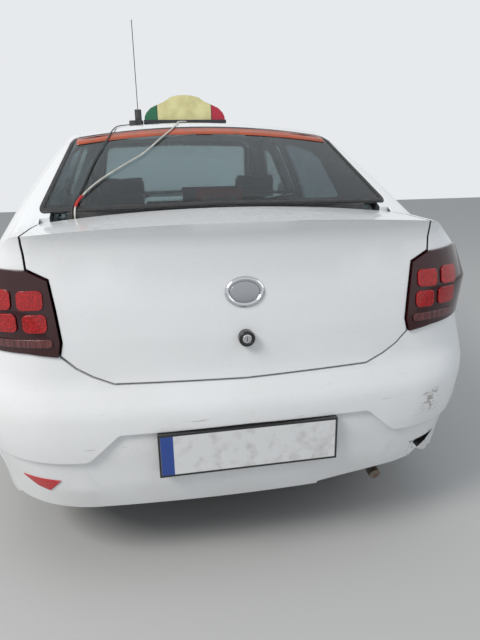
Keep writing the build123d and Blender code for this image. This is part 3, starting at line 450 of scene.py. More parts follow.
# Window seals: a black enamel border burnt on the fixed panes' edges, a rubber lip round each door window,
# and an orange-red sun strip stuck along the top of the back window.
WINDSCREEN_EDGE = ((0.0, 1.020), (0.655, 1.002), (0.528, 1.416), (0.0, 1.432), (-0.528, 1.416),
                   (-0.655, 1.002))
REAR_GLASS_CORNERS = ((-0.594, 1.109), (0.0, 1.117), (0.594, 1.109))
REAR_GLASS_TOP = 1.402
REAR_GLASS_DROP = 0.042
REAR_GLASS_HALF_WIDTH_IN_CM = 52.5
DOOR_WINDOW_EDGE = {
    "front": ((0.762, 0.988), (0.318, 1.342), (-0.104, 1.362), (-0.104, 0.985)),
    "rear": ((-0.252, 0.985), (-0.252, 1.360), (-0.430, 1.356), (-0.840, 1.296), (-0.984, 0.990)),
}
SEEN_FROM = {
    "rear": (lambda a, b: (a, -4.0, b), (0, 1, 0)),
    "front": (lambda a, b: (a, 4.0, b), (0, -1, 0)),
    "right": (lambda a, b: (4.0, a, b), (-1, 0, 0)),
    "left": (lambda a, b: (-4.0, a, b), (1, 0, 0)),
    "top": (lambda a, b: (a, b, 4.0), (0, 0, -1)),
}


def rear_glass_top(half_width, step):
    """The curved upper edge of the back window, from right to left, in steps of whole centimetres."""
    return [(x / 100, REAR_GLASS_TOP - REAR_GLASS_DROP * (x / REAR_GLASS_HALF_WIDTH_IN_CM) ** 2)
            for x in range(half_width, -half_width - 1, -step)]


def skin_of(*pieces):
    """The outside of some pieces, to lay thin things on."""
    corners = []
    faces = []
    for piece in pieces:
        first = len(corners)
        corners += [vertex.co.copy() for vertex in piece.data.vertices]
        faces += [tuple(first + index for index in face.vertices) for face in piece.data.polygons]
    return BVHTree.FromPolygons(corners, faces)


def on_skin(skin, side, a, b, lift):
    """The point of a skin seen from a side at (a, b), lifted along the surface's normal."""
    start, direction = SEEN_FROM[side]
    start = Vector(start(a, b))
    direction = Vector(direction)
    spot, normal, _, _ = skin.ray_cast(start, direction)
    if spot is None:
        near_the_line = [skin.find_nearest(start + direction * step / 100) for step in range(200, 400)]
        spot, normal, _, _ = min(near_the_line, key=lambda found: found[3])
    if normal.dot(direction) > 0:
        normal = -normal
    return spot + normal * lift


def rounded(corners, radius, step=0.012):
    """A closed outline with arcs at its corners, as closely spaced points."""
    points = []
    count = len(corners)
    for index in range(count):
        at = Vector(corners[index])
        before = Vector(corners[index - 1]) - at
        after = Vector(corners[(index + 1) % count]) - at
        start = at + before.normalized() * min(radius, 0.45 * before.length)
        end = at + after.normalized() * min(radius, 0.45 * after.length)
        stop = at + after - after.normalized() * min(radius, 0.45 * after.length)
        for part in range(7):
            t = part / 6
            points.append(start * (1 - t) ** 2 + at * 2 * t * (1 - t) + end * t ** 2)
        extra = max(int((stop - end).length / step), 1)
        for part in range(1, extra):
            points.append(end.lerp(stop, part / extra))
    return points


def thin_plate(name, corners, faces, thick, finish, body):
    """A piece of sheet or film made from its outer face."""
    mesh = bpy.data.meshes.new(name)
    mesh.from_pydata(corners, [], faces)
    solid = in_scene(name, mesh, finish, body).modifiers.new("thickness", "SOLIDIFY")
    solid.thickness = thick
    solid.offset = 0.0


def disc(name, skin, side, outline, middle, lift, finish,
         body="car_body", rings=6, crown=0.0):
    """A thin plate on a skin that fills an outline of (a, b) points, raised by crown in its middle."""
    middle = Vector(middle)
    corners = [on_skin(skin, side, *middle, lift + crown)]
    for ring in range(1, rings + 1):
        share = ring / rings
        for point in outline:
            corners.append(on_skin(skin, side, *middle.lerp(point, share), lift + crown * (1 - share ** 2)))
    count = len(outline)
    faces = [(0, 1 + index, 1 + (index + 1) % count) for index in range(count)]
    for ring in range(rings - 1):
        for index in range(count):
            after = (index + 1) % count
            inner = 1 + ring * count
            faces.append((inner + index, inner + count + index, inner + count + after, inner + after))
    thin_plate(name, corners, faces, 0.0006, finish, body)


def circle(a, b, radius_a, radius_b=None, count=40):
    radius_b = radius_b or radius_a
    turns = [2 * math.pi * n / count for n in range(count)]
    return [Vector((a + radius_a * math.cos(t), b + radius_b * math.sin(t))) for t in turns]


def band(name, skin, side, outline, outer, inner, lift, finish,
         body="car_body", closed=True, steps=2, crown=0.0, thick=0.0006):
    """A thin band on a skin, from outer to inner metres inside an outline, raised by crown in its middle."""
    count = len(outline)
    wrapped = outline[1:] + outline[:1]
    turning = sum(p.x * q.y - q.x * p.y for p, q in zip(outline, wrapped))
    corners = []
    for index, point in enumerate(outline):
        before = outline[index - 1] if closed or index else point
        after = wrapped[index] if closed or index < count - 1 else point
        along = (after - before).normalized()
        inward = Vector((-along.y, along.x)) * (1 if turning > 0 else -1)
        for part in range(steps + 1):
            spot = point + inward * (outer + (inner - outer) * part / steps)
            corners.append(on_skin(skin, side, *spot, lift + crown * math.sin(math.pi * part / steps)))
    faces = []
    row = steps + 1
    for index in range(count if closed else count - 1):
        here = index * row
        after = (index + 1) % count * row
        faces += [(here + part, here + part + 1, after + part + 1, after + part) for part in range(steps)]
    thin_plate(name, corners, faces, thick, finish, body)


def uneven_gloss(shader, scale, detail, low, high, dull_from, dull_to):
    """Roughness from one value to another, where noise passes from low to high."""
    worn = between(grain(shader, scale, detail), low, high, dull_from, dull_to)
    link(worn, shader.inputs["Roughness"])


seal, shader = new_finish("seal_rubber", (0.012, 0.012, 0.013), 0.5)
uneven_gloss(shader, 30.0, 5.0, 0.3, 0.8, 0.4, 0.7)
grained(shader, 500.0, 2.0, 0.1, 0.0005)
sun_strip, shader = new_finish("orange_sun_strip", (0.55, 0.09, 0.025), 0.3)
mottled(shader, 30.0, 6.0, 0.4, 0.7, (0.46, 0.085, 0.035), (0.30, 0.085, 0.045))
rear_skin = skin_of(nodes["rear_window"], nodes["roof_panel"])
rear_edge = rounded((*REAR_GLASS_CORNERS, *rear_glass_top(52, 4)), 0.02)
band("rear_window_border", rear_skin, "rear", rear_edge, -0.001, 0.011, 0.0007, seal)
windscreen_edge = rounded(WINDSCREEN_EDGE, 0.06)
band("windscreen_border", skin_of(nodes["windscreen"]), "front", windscreen_edge, 0.001, 0.03, 0.0007, seal)
strip_edge = [Vector(point) for point in rear_glass_top(51, 1)]
band("rear_sun_strip", rear_skin, "rear", strip_edge, 0.006, 0.034, 0.0016, sun_strip,
     closed=False)
for side in ("right", "left"):
    for kind, edge in DOOR_WINDOW_EDGE.items():
        door = f"{kind}_door_{side}"
        band(f"{kind}_window_lip_{side}", skin_of(nodes[door]), side, rounded(edge, 0.03), -0.011, -0.001,
             0.0006, seal, door, crown=0.0012)

# Tail lamps: a smoked lens moulded in one piece, from which four bright red cells and a pale strip for the
# reversing lamp stand out. The bumper has one red reflector left, and a bare hole for the other.
CLEAR_STRIP_TOP = 0.803
REFLECTOR_TOP = 0.60
lamp_smoke, shader = new_finish("smoked_red_lens", (0.032, 0.003, 0.005), 0.10)
lacquer(shader, 0.15)
uneven_gloss(shader, 12.0, 6.0, 0.35, 0.8, 0.08, 0.3)
folded_edges(shader, 0.003, bump(shader, grain(shader, 320.0, 1.0, (1.0, 1.0, 0.1)), 0.05, 0.001))
dress(lamp_smoke, "tail_lamps")
lamp_red, shader = new_finish("bright_red_cells", (0.50, 0.012, 0.018), 0.14)
lacquer(shader, 0.2, 0.04)
prisms = add(shader, "ShaderNodeTexVoronoi")
prisms.inputs["Scale"].default_value = 190.0
link(add(shader, "ShaderNodeTexCoord").outputs["Object"], prisms.inputs["Vector"])
facets = between(prisms.outputs["Distance"], 0.0, 0.6)
red = mixed(facets, (0.66, 0.010, 0.012), (0.28, 0.003, 0.005))
ribs = between(grain(shader, 60.0, 2.0, (4.0, 4.0, 0.1)), 0.4, 0.6)
clear = mixed(ribs, (0.16, 0.045, 0.045), (0.06, 0.018, 0.02))
height = axis_value(shader, "Z")
lens = mixed(between(height, CLEAR_STRIP_TOP, CLEAR_STRIP_TOP + 0.003), clear, red)
colour = mixed(between(height, REFLECTOR_TOP, REFLECTOR_TOP + 0.01), (0.50, 0.012, 0.016), lens)
link(colour, shader.inputs["Base Color"])
folded_edges(shader, 0.004, bump(shader, facets, 0.12, 0.001))
dress(lamp_red, "tail_lamp_cells", "reflector")

# Headlamps: a clear cover over a bright ribbed shell, with a deep bowl for the main bulb, a smaller one
# beside it, and an amber turn lamp at the outer end.
TURN_LAMP_FROM = 0.733
lamp_clear, shader = new_finish("lamp_shell", (0.30, 0.32, 0.34), 0.14, 0.8)
lacquer(shader, 0.6)
wide = add(shader, "ShaderNodeMath", operation="ABSOLUTE")
link(axis_value(shader, "X"), wide.inputs[0])
ribs = between(grain(shader, 80.0, 2.0, (1.0, 1.0, 0.1)), 0.4, 0.6)
ribbed = mixed(ribs, (0.34, 0.36, 0.38), (0.22, 0.23, 0.25))
outer_end = between(wide.outputs[0], TURN_LAMP_FROM, TURN_LAMP_FROM + 0.004)
link(mixed(outer_end, ribbed, (0.42, 0.15, 0.03)), shader.inputs["Base Color"])
fluted = grain(shader, 120.0, 1.0, (1.0, 1.0, 0.05))
folded_edges(shader, 0.004, bump(shader, fluted, 0.25, 0.002))
dress(lamp_clear, "headlamps")
bowl, shader = new_finish("lamp_bowl", (0.80, 0.82, 0.84), 0.07, 0.95)
bump(shader, grain(shader, 60.0, 2.0, (4.0, 1.0, 0.3)), 0.3, 0.002)
dark_ring, shader = new_finish("lamp_dark_ring", (0.03, 0.03, 0.032), 0.25)
grained(shader, 300.0, 4.0, 0.06, 0.0005)
lamp_skin = skin_of(nodes["headlamps"])
for side, sign in (("right", 1), ("left", -1)):
    for part, x, z, radius in (("main", 0.60, 0.718, 0.046), ("side", 0.50, 0.706, 0.030)):
        middle = (sign * x, z)
        band(f"headlamp_{part}_ring_{side}", lamp_skin, "front", circle(*middle, radius), -0.006, 0.002,
             0.001, dark_ring, crown=0.002)
        disc(f"headlamp_{part}_bowl_{side}", lamp_skin, "front", circle(*middle, radius - 0.002), middle,
             0.0010, bowl, crown=0.002)

# Number plates: reflective sheet in a thin black holder, with a bare blue band at the left end and nothing
# on it.
PLATE_END = 0.2585
BLUE_BAND_END = 0.222
REAR_HALF = (-2.5, 0.0)
FRONT_HALF = (0.0, 2.5)
plate_white, shader = new_finish("bare_plate", (0.72, 0.73, 0.74), 0.3)
lacquer(shader, 0.3)
sheet = mixed(between(grain(shader, 30.0, 8.0), 0.48, 0.85), (0.74, 0.75, 0.76), (0.48, 0.47, 0.45))
faces = []
for heights, half in (((0.3915, 0.5135), REAR_HALF), ((0.4615, 0.5835), FRONT_HALF)):
    plate_place = within(shader, 0.0008, X=(-PLATE_END, PLATE_END), Z=heights)
    faces.append(combined(plate_place, within(shader, 0.01, Y=half)))
rear_blue = within(shader, 0.0008, X=(-PLATE_END, -BLUE_BAND_END), Y=REAR_HALF)
front_blue = within(shader, 0.0008, X=(BLUE_BAND_END, PLATE_END), Y=FRONT_HALF)
face = mixed(combined(rear_blue, front_blue, "MAXIMUM"), sheet, (0.015, 0.06, 0.30))
colour = mixed(combined(*faces, "MAXIMUM"), (0.015, 0.015, 0.016), face)
link(colour, shader.inputs["Base Color"])
uneven_gloss(shader, 12.0, 6.0, 0.3, 0.8, 0.25, 0.5)
grained(shader, 600.0, 2.0, 0.05, 0.0005, edge=0.002)
dress(plate_white, "number_plates")

# A plain chromed oval without any mark sits in the badge's place on the boot lid, and under it the lock: a
# silver barrel in a black ring, with its key slot drawn as a thin black strip of painted shade.
BADGE_MIDDLE = (0.006, 0.899)
LOCK_MIDDLE = (0.004, 0.771)
chrome, shader = new_finish("chrome", (0.62, 0.63, 0.65), 0.10, 1.0)
uneven_gloss(shader, 40.0, 5.0, 0.35, 0.8, 0.07, 0.28)
grained(shader, 120.0, 3.0, 0.03, 0.0004)
badge_field, shader = new_finish("brushed_badge", (0.40, 0.41, 0.43), 0.32, 0.9)
bump(shader, grain(shader, 60.0, 2.0, (1.0, 1.0, 12.0)), 0.12, 0.0005)
lid_skin = skin_of(nodes["boot_lid"])
band("badge_rim", lid_skin, "rear", circle(*BADGE_MIDDLE, 0.057, 0.043, 64), 0.0, 0.013, 0.0012, chrome,
     "boot_lid", steps=8, crown=0.0045, thick=0.0012)
disc("badge_field", lid_skin, "rear", circle(*BADGE_MIDDLE, 0.0455, 0.0315, 64), BADGE_MIDDLE, 0.0016,
     badge_field, "boot_lid", crown=0.0016)
lock_black_and_slot_shade, shader = new_finish("lock_ring", (0.012, 0.012, 0.013), 0.35)
grained(shader, 500.0, 4.0, 0.08, 0.0004)
band("lock_ring", lid_skin, "rear", circle(*LOCK_MIDDLE, 0.023, count=48), 0.0, 0.009, 0.0006, lock_black_and_slot_shade,
     "boot_lid", steps=6, crown=0.0028)
disc("lock_barrel", lid_skin, "rear", circle(*LOCK_MIDDLE, 0.0142), LOCK_MIDDLE, 0.0014, chrome,
     "boot_lid", rings=3)
# Painted shade: the key slot is a thin black strip laid across the barrel where the slot's shade would be.
slot_shade_line = [Vector((0.004, 0.778)), Vector((0.004, 0.764))]
band("painted_slot_shade", lid_skin, "rear", slot_shade_line, -0.0008, 0.0008, 0.0026, lock_black_and_slot_shade,
     "boot_lid", closed=False, steps=1)

# Black mouldings: grained plastic on the mirrors, wipers, grille, aerial foot and fuel tank, and on the
# high brake lamp, which has a red window in it.
BRAKE_LAMP_WINDOW = {"X": (-0.075, 0.091), "Y": (-1.7, -1.6085), "Z": (1.132, 1.164)}


def black_grained(name, red_window=None):
    """Black plastic that has gone pale in patches, with a red lens where a window is given."""
    finish, shader = new_finish(name, (0.022, 0.022, 0.024), 0.45)
    pale = between(grain(shader, 16.0, 7.0), 0.45, 0.8)
    colour = mixed(pale, (0.020, 0.020, 0.022), (0.075, 0.072, 0.068))
    if red_window:
        colour = mixed(within(shader, 0.0006, **red_window), colour, (0.45, 0.012, 0.016))
    link(colour, shader.inputs["Base Color"])
    uneven_gloss(shader, 18.0, 5.0, 0.3, 0.8, 0.38, 0.62)
    grained(shader, 700.0, 3.0, 0.12, 0.001, edge=0.0015)
    return finish


black_plastic = black_grained("black_moulding")
dress(black_plastic, "mirror_right", "mirror_left", "wipers", "grille", "antenna", "fuel_tank")
dress(black_grained("brake_lamp_housing", BRAKE_LAMP_WINDOW), "high_brake_lamp")
mirror_glass, shader = new_finish("mirror_glass", (0.72, 0.76, 0.78), 0.03, 1.0)
uneven_gloss(shader, 30.0, 6.0, 0.4, 0.8, 0.02, 0.2)
for side, middle in (("right", 0.935), ("left", -0.935)):
    edge = rounded(((middle - 0.078, 0.985), (middle + 0.078, 0.990),
                    (middle + 0.074, 1.085), (middle - 0.076, 1.082)), 0.02)
    mirror_skin = skin_of(nodes[f"mirror_{side}"])
    band(f"mirror_rim_{side}", mirror_skin, "rear", edge, -0.004, 0.001, 0.0006, black_plastic,
         f"front_door_{side}", crown=0.001)
    disc(f"mirror_glass_{side}", mirror_skin, "rear", edge, (middle, 1.0355), 0.0004, mirror_glass,
         f"front_door_{side}")

# A flap closes the filler pipe on the right flank, its gap drawn as a thin near-black line of painted shade
# on the skin, and a chromed key barrel sits flush in the skin beside each front door's handle.
KEY_MIDDLE = (-0.075, 0.800)
# Painted shade: a near-black line laid on the skin round the flap stands for the shade in its gap.
flap_gap_shade, shader = new_finish("painted_gap_shade", (0.02, 0.02, 0.021), 0.8)
grained(shader, 300.0, 4.0, 0.1, 0.0004)
flap_edge = rounded(((-1.43, 0.80), (-1.29, 0.80), (-1.29, 0.94), (-1.43, 0.94)), 0.03)
band("filler_flap_gap_shade", skin_of(nodes["body_side_right"]), "right", flap_edge, -0.0012, 0.0012, 0.0003,
     flap_gap_shade, steps=1, thick=0.0003)
for side in ("right", "left"):
    door = f"front_door_{side}"
    disc(f"door_key_{side}", skin_of(nodes[door]), side, circle(*KEY_MIDDLE, 0.010, count=24), KEY_MIDDLE,
         0.0006, chrome, door, rings=3, crown=0.001)

# Roof sign: a hood moulded in three colours, cream in the middle with a green and a red end, on a black
# foot with dark joints where the parts meet. It has no lettering.
GREEN_END = -0.155
RED_END = 0.1735
FOOT_TOP = 1.519
hood, shader = new_finish("sign_hood", (0.72, 0.66, 0.30), 0.32)
lacquer(shader, 0.35)
across = axis_value(shader, "X")
cream = mixed(between(grain(shader, 16.0, 6.0), 0.35, 0.75), (0.70, 0.66, 0.33), (0.52, 0.47, 0.22))
past_green = between(across, GREEN_END - 0.0005, GREEN_END + 0.0005)
colour = mixed(past_green, (0.008, 0.13, 0.055), cream)
in_red = between(across, RED_END - 0.0005, RED_END + 0.0005)
colour = mixed(in_red, colour, (0.42, 0.012, 0.035))
green_joint = within(shader, 0.0006, X=(-0.1575, -0.1530))
red_joint = within(shader, 0.0006, X=(0.1710, 0.1755))
foot = between(axis_value(shader, "Z"), FOOT_TOP - 0.0005, FOOT_TOP + 0.0005, 1.0, 0.0)
dark = combined(combined(green_joint, red_joint, "MAXIMUM"), foot, "MAXIMUM")
colour = mixed(dark, colour, (0.012, 0.013, 0.018))
link(colour, shader.inputs["Base Color"])
uneven_gloss(shader, 22.0, 6.0, 0.35, 0.8, 0.22, 0.6)
grained(shader, 80.0, 3.0, 0.05, 0.0006, edge=0.006)
dress(hood, "roof_sign")

# Tyres: tubeless radials with three grooves round the tread, cuts across its blocks, and a rib on the
# sidewall. All four come from one mould.
AXLE_HEIGHT = 0.311
WHEELS = (("front", "right", 0.748, 1.349), ("front", "left", -0.748, 1.349),
          ("rear", "right", 0.743, -1.285), ("rear", "left", -0.743, -1.285))
HALF_PROFILE = (
    (0.000, 0.303), (0.0035, 0.303), (0.0045, 0.3108), (0.020, 0.3106), (0.0375, 0.3100), (0.0385, 0.303),
    (0.0455, 0.303), (0.0465, 0.3096), (0.062, 0.3088), (0.073, 0.3050), (0.084, 0.2995), (0.0885, 0.285),
    (0.0918, 0.268), (0.0905, 0.266), (0.0925, 0.258), (0.0915, 0.240), (0.088, 0.222), (0.0865, 0.221),
    (0.084, 0.212), (0.078, 0.200), (0.072, 0.1905),
)
SEGMENTS = 210
CUT_EVERY = 7
CUT_DEPTH = 0.0045
TREAD_INNER_EDGE = 0.29
MIDDLE_BLOCKS = (0.005, 0.037)
SHOULDER_BLOCKS = (0.046, 0.088)


def on_each_wheel(name, mesh, finish):
    """The same mesh on all four wheels, turned round on the left."""
    mesh.materials.append(finish)
    mesh.polygons.foreach_set("use_smooth", [True] * len(mesh.polygons))
    pieces = []
    for axle, side, x, y in WHEELS:
        piece = placed(f"{name}_{axle}_{side}", mesh)
        piece.location = (x, y, AXLE_HEIGHT)
        piece.rotation_euler.z = 0.0 if side == "right" else math.pi
        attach(piece, f"{axle}_wheel_{side}")
        pieces.append(piece)
    return pieces


rubber, shader = new_finish("tyre_rubber", (0.018, 0.018, 0.019), 0.75)
grained(shader, 260.0, 3.0, 0.2, 0.001)
mottled(shader, 9.0, 6.0, 0.4, 0.75, (0.016, 0.016, 0.017), (0.07, 0.065, 0.058))
profile = [(-x, radius) for x, radius in reversed(HALF_PROFILE) if x > 0] + list(HALF_PROFILE)
row = len(profile)
corners = []
faces = []
for segment in range(SEGMENTS):
    angle = 2 * math.pi * segment / SEGMENTS
    for x, radius in profile:
        cut_here = (segment + (3 if x > 0 else 0)) % CUT_EVERY == 0 and radius > TREAD_INNER_EDGE
        in_block = any(low < abs(x) < high for low, high in (MIDDLE_BLOCKS, SHOULDER_BLOCKS))
        depth = CUT_DEPTH if cut_here and in_block else 0.0
        corners.append((x, (radius - depth) * math.sin(angle), (radius - depth) * math.cos(angle)))
    here = segment * row
    after = (segment + 1) % SEGMENTS * row
    faces += [(here + part, after + part, after + part + 1, here + part + 1) for part in range(row - 1)]
    faces.append((here + row - 1, after + row - 1, after, here))
tyre_mesh = bpy.data.meshes.new("radial_tyre")
tyre_mesh.from_pydata(corners, [], faces)
for tyre, (axle, side, _, _) in zip(on_each_wheel("tread", tyre_mesh, rubber), WHEELS):
    smooth_shading(tyre, 32.0)
    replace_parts(tyre, f"{axle}_tyre_{side}")

# Wheels: pressed steel, painted dark and rusty at places, with a silver plastic trim of seven broad spokes
# clipped over it, scratched and gritty.
SPOKES = 7
STEPS_A_SPOKE = 24
STEPS = SPOKES * STEPS_A_SPOKE
RINGS = (0.0, 0.014, 0.028, 0.034, 0.040, 0.058, 0.078, 0.098, 0.118, 0.138, 0.154, 0.160, 0.170, 0.180,
         0.1845, 0.1865)
HUB_CAP = 0.034
HUB_CAP_FACE = 0.070
RIDGES = (0.040, 0.158)
SLOTS = (0.058, 0.154)
RIM_LIP = 0.184
silver, shader = new_finish("wheel_silver", (0.5, 0.51, 0.52), 0.35, 0.75)
scratches = between(grain(shader, 240.0), 0.3, 0.7)
grime = combined(between(grain(shader, 20.0, 8.0), 0.35, 0.7), scratches)
gritty = between(grime, 0.0, 1.0, 0.0, 0.7)
link(mixed(gritty, (0.52, 0.53, 0.54), (0.13, 0.11, 0.09)), shader.inputs["Base Color"])
link(between(gritty, 0.0, 0.7, 0.32, 0.8), shader.inputs["Roughness"])
grained(shader, 400.0, 2.0, 0.03, 0.001, edge=0.002)
steel_rim, shader = new_finish("steel_rim", (0.11, 0.11, 0.115), 0.5, 0.6)
mottled(shader, 25.0, 8.0, 0.5, 0.7, (0.11, 0.11, 0.115), (0.12, 0.06, 0.03))
grained(shader, 300.0, 3.0, 0.1, 0.001, edge=0.002)
dress(steel_rim, "front_rim_right", "front_rim_left", "rear_rim_right", "rear_rim_left")


def ramp(value, start, length):
    """0 up to start, 1 beyond start + length, and a straight rise in between."""
    return min(max((value - start) / length, 0.0), 1.0)


corners = [(HUB_CAP_FACE, 0.0, 0.0)]
for ring in RINGS[1:]:
    dome = HUB_CAP_FACE
    if ring >= HUB_CAP:
        dome = 0.0685 - 0.010 * ramp(ring, 0.034, 0.12) + 0.006 * ramp(ring, 0.150, 0.03)
    lip = -0.006 if ring > RIM_LIP else 0.0
    for step in range(STEPS):
        angle = 2 * math.pi * step / STEPS
        across = abs(step % STEPS_A_SPOKE - 12) / 12
        ridge = 0.004 * (1 - min(across * 1.7, 1.0) ** 2) if RIDGES[0] < ring < RIDGES[1] else 0.0
        corners.append((dome + ridge + lip, ring * math.sin(angle), ring * math.cos(angle)))
faces = [(0, 1 + (step + 1) % STEPS, 1 + step) for step in range(STEPS)]
for ring in range(1, len(RINGS) - 1):
    middle = (RINGS[ring] + RINGS[ring + 1]) / 2
    spoke_half_width = 0.46 + 0.16 * (middle - 0.05) / 0.1
    first = 1 + (ring - 1) * STEPS
    for step in range(STEPS):
        in_slot = SLOTS[0] < middle < SLOTS[1] and abs(step % STEPS_A_SPOKE - 11.5) / 12 > spoke_half_width
        after = (step + 1) % STEPS
        if not in_slot:
            faces.append((first + step, first + after, first + STEPS + after, first + STEPS + step))
trim_mesh = bpy.data.meshes.new("wheel_trim")
trim_mesh.from_pydata(corners, [], faces)
for cover in on_each_wheel("wheel_trim", trim_mesh, silver):
    solid = cover.modifiers.new("moulded_wall", "SOLIDIFY")
    solid.thickness = 0.0025
    solid.offset = -1.0
    smooth_shading(cover, 40.0)

# Seats: foam cushions in woven cloth with paler piping, on steel runners. Each cushion is cut from its side
# profile and filled until its cover stands out, and piping runs along the seams of its bolsters.
SEAT_FORMS = {
    "front_cushion": (((0.250, 0.345), (0.255, 0.440), (0.200, 0.474), (-0.200, 0.434), (-0.270, 0.415),
                       (-0.275, 0.345)), 0.143, 0.602),
    "front_back": (((-0.185, 0.470), (-0.240, 0.478), (-0.425, 0.985), (-0.448, 1.015), (-0.490, 1.015),
                    (-0.494, 0.985), (-0.320, 0.435), (-0.225, 0.435)), 0.152, 0.593),
    "front_headrest": (((-0.424, 1.052), (-0.437, 1.172), (-0.455, 1.192), (-0.492, 1.184), (-0.488, 1.052)),
                       0.262, 0.483),
    "rear_cushion": (((-0.575, 0.430), (-0.568, 0.515), (-0.600, 0.542), (-0.895, 0.506), (-0.940, 0.488),
                      (-0.945, 0.430)), -0.556, 0.556),
    "rear_back": (((-0.880, 0.540), (-1.045, 1.000), (-1.063, 1.016), (-1.106, 1.008), (-1.112, 0.985),
                   (-0.985, 0.470), (-0.930, 0.470)), -0.551, 0.551),
    "rear_headrest": (((-1.054, 1.032), (-1.064, 1.118), (-1.078, 1.134), (-1.113, 1.126), (-1.108, 1.032)),
                      0.236, 0.464),
}
SEAMS = {
    "front_cushion": ("top", ((0.245, -0.17), (0.240, 0.0), (0.245, 0.20)),
                      ((0.500, -0.17), (0.505, 0.0), (0.500, 0.20)),
                      ((0.245, 0.06), (0.37, 0.07), (0.500, 0.06))),
    "front_back": ("front", ((0.245, 0.56), (0.235, 0.75), (0.250, 0.94)),
                   ((0.500, 0.56), (0.510, 0.75), (0.495, 0.94)),
                   ((0.240, 0.72), (0.37, 0.71), (0.505, 0.72))),
    "rear_cushion": ("top", ((-0.17, -0.87), (-0.16, -0.74), (-0.17, -0.62)),
                     ((0.17, -0.87), (0.16, -0.74), (0.17, -0.62))),
    "rear_back": ("front", ((-0.17, 0.60), (-0.16, 0.80), (-0.17, 0.96)),
                  ((0.17, 0.60), (0.16, 0.80), (0.17, 0.96))),
}
RUNNER_SIDE = ((0.175, 0.212), (0.160, 0.345), (-0.190, 0.345), (-0.205, 0.212))
RUNNER_HALF_WIDTH = 0.012
POST_RADIUS = 0.006
cloth, shader = new_finish("seat_cloth", (0.045, 0.048, 0.055), 0.9)
shader.inputs["Sheen Weight"].default_value = 0.3
weft = add(shader, "ShaderNodeTexWave")
weft.inputs["Scale"].default_value = 300.0
warp = add(shader, "ShaderNodeTexWave", bands_direction="Z")
warp.inputs["Scale"].default_value = 300.0
for thread in (weft, warp):
    link(add(shader, "ShaderNodeTexCoord").outputs["Object"], thread.inputs["Vector"])
woven = combined(weft.outputs["Fac"], warp.outputs["Fac"], "ADD")
threads = mixed(between(woven, 0.4, 1.6), (0.030, 0.032, 0.038), (0.085, 0.090, 0.10))
link(threads, shader.inputs["Base Color"])
bump(shader, woven, 0.3, 0.0006)
piping, shader = new_finish("seat_piping", (0.16, 0.165, 0.17), 0.7)
grained(shader, 500.0, 4.0, 0.15, 0.0005)
frame_steel, shader = new_finish("seat_frame_steel", (0.05, 0.05, 0.052), 0.45, 0.6)
grained(shader, 200.0, 4.0, 0.1, 0.0005)


def cut_form(name, outline, low_x, high_x):
    """A closed form from a side profile between two widths."""
    form = bmesh.new()
    near = [form.verts.new((low_x, y, z)) for y, z in outline]
    far = [form.verts.new((high_x, y, z)) for y, z in outline]
    form.faces.new(near)
    form.faces.new(list(reversed(far)))
    for index in range(len(outline)):
        after = (index + 1) % len(outline)
        form.faces.new((near[after], near[index], far[index], far[after]))
    bmesh.ops.recalc_face_normals(form, faces=form.faces)
    mesh = bpy.data.meshes.new(name)
    form.to_mesh(mesh)
    form.free()
    return mesh


def with_own_mesh(obj):
    """Gives the piece the mesh that its modifiers make."""
    mesh = settled(obj)
    obj.modifiers.clear()
    obj.data = mesh
    return mesh


def filled(obj, voxel, cap):
    """Foam under a cover: rounds the cut form and lets its cover swell by at most cap."""
    remesh = obj.modifiers.new("even_faces", "REMESH")
    remesh.mode = "VOXEL"
    remesh.voxel_size = voxel
    obj.modifiers.new("soft_edges", "SMOOTH").iterations = 5
    mesh = with_own_mesh(obj)
    before = [vertex.co.copy() for vertex in mesh.vertices]
    cover = obj.modifiers.new("cover", "CLOTH")
    cover.settings.quality = 4
    cover.settings.use_pressure = True
    cover.settings.uniform_pressure_force = 4.0
    cover.settings.effector_weights.gravity = 0
    for moment in range(1, 21):
        bpy.context.scene.frame_set(moment)
    mesh = with_own_mesh(obj)
    for vertex, start in zip(mesh.vertices, before):
        moved = vertex.co - start
        if moved.length > cap:
            vertex.co = start + moved.normalized() * cap
    bpy.context.scene.frame_set(1)
    obj.modifiers.new("even_cover", "SMOOTH").iterations = 3
    with_own_mesh(obj)


def mirrored_mesh(mesh, name):
    copy = mesh.copy()
    copy.name = name
    copy.transform(Matrix.Diagonal((-1.0, 1.0, 1.0, 1.0)))
    copy.flip_normals()
    return copy


for form_name, (outline, low_x, high_x) in SEAT_FORMS.items():
    cushion = in_scene(f"{form_name}_right", cut_form(form_name, outline, low_x, high_x), cloth, "car_body")
    if "headrest" in form_name:
        filled(cushion, voxel=0.010, cap=0.014)
    else:
        filled(cushion, voxel=0.013, cap=0.024)
    pads = [(cushion, 1)]
    if low_x > 0:
        left_mesh = mirrored_mesh(cushion.data, f"{form_name}_left")
        pads.append((in_scene(f"{form_name}_left", left_mesh, cloth, "car_body"), -1))
    for pad, side_sign in pads:
        pad.data.materials.clear()
        pad.data.materials.append(cloth)
        pad.data.polygons.foreach_set("use_smooth", [True] * len(pad.data.polygons))
        pad.modifiers.new("fine_cover", "SUBSURF").levels = 1
        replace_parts(pad, "front_seats" if "front" in form_name else "rear_bench")
        cover_skin = skin_of(pad)
        side, *seams = SEAMS.get(form_name, ("top",))
        for number, seam in enumerate(seams):
            first, control, last = [Vector((side_sign * a, b)) for a, b in seam]
            pull = control * 2 - (first + last) / 2
            shares = [n / 16 for n in range(17)]
            line = [first * (1 - t) ** 2 + pull * 2 * t * (1 - t) + last * t ** 2 for t in shares]
            band(f"{pad.name}_seam_{number}", cover_skin, side, line, -0.0022, 0.0022, 0.0008, piping,
                 closed=False, steps=4, crown=0.0016)


def headrest_post(name, x, foot, middle, top, replaced):
    """A chromed post of the headrest, from (y, z) to (y, z)."""
    post = smooth_line(name, [(x, *foot), (x, *middle), (x, *top)], POST_RADIUS)
    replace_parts(in_scene(name, post, chrome, "car_body"), replaced)


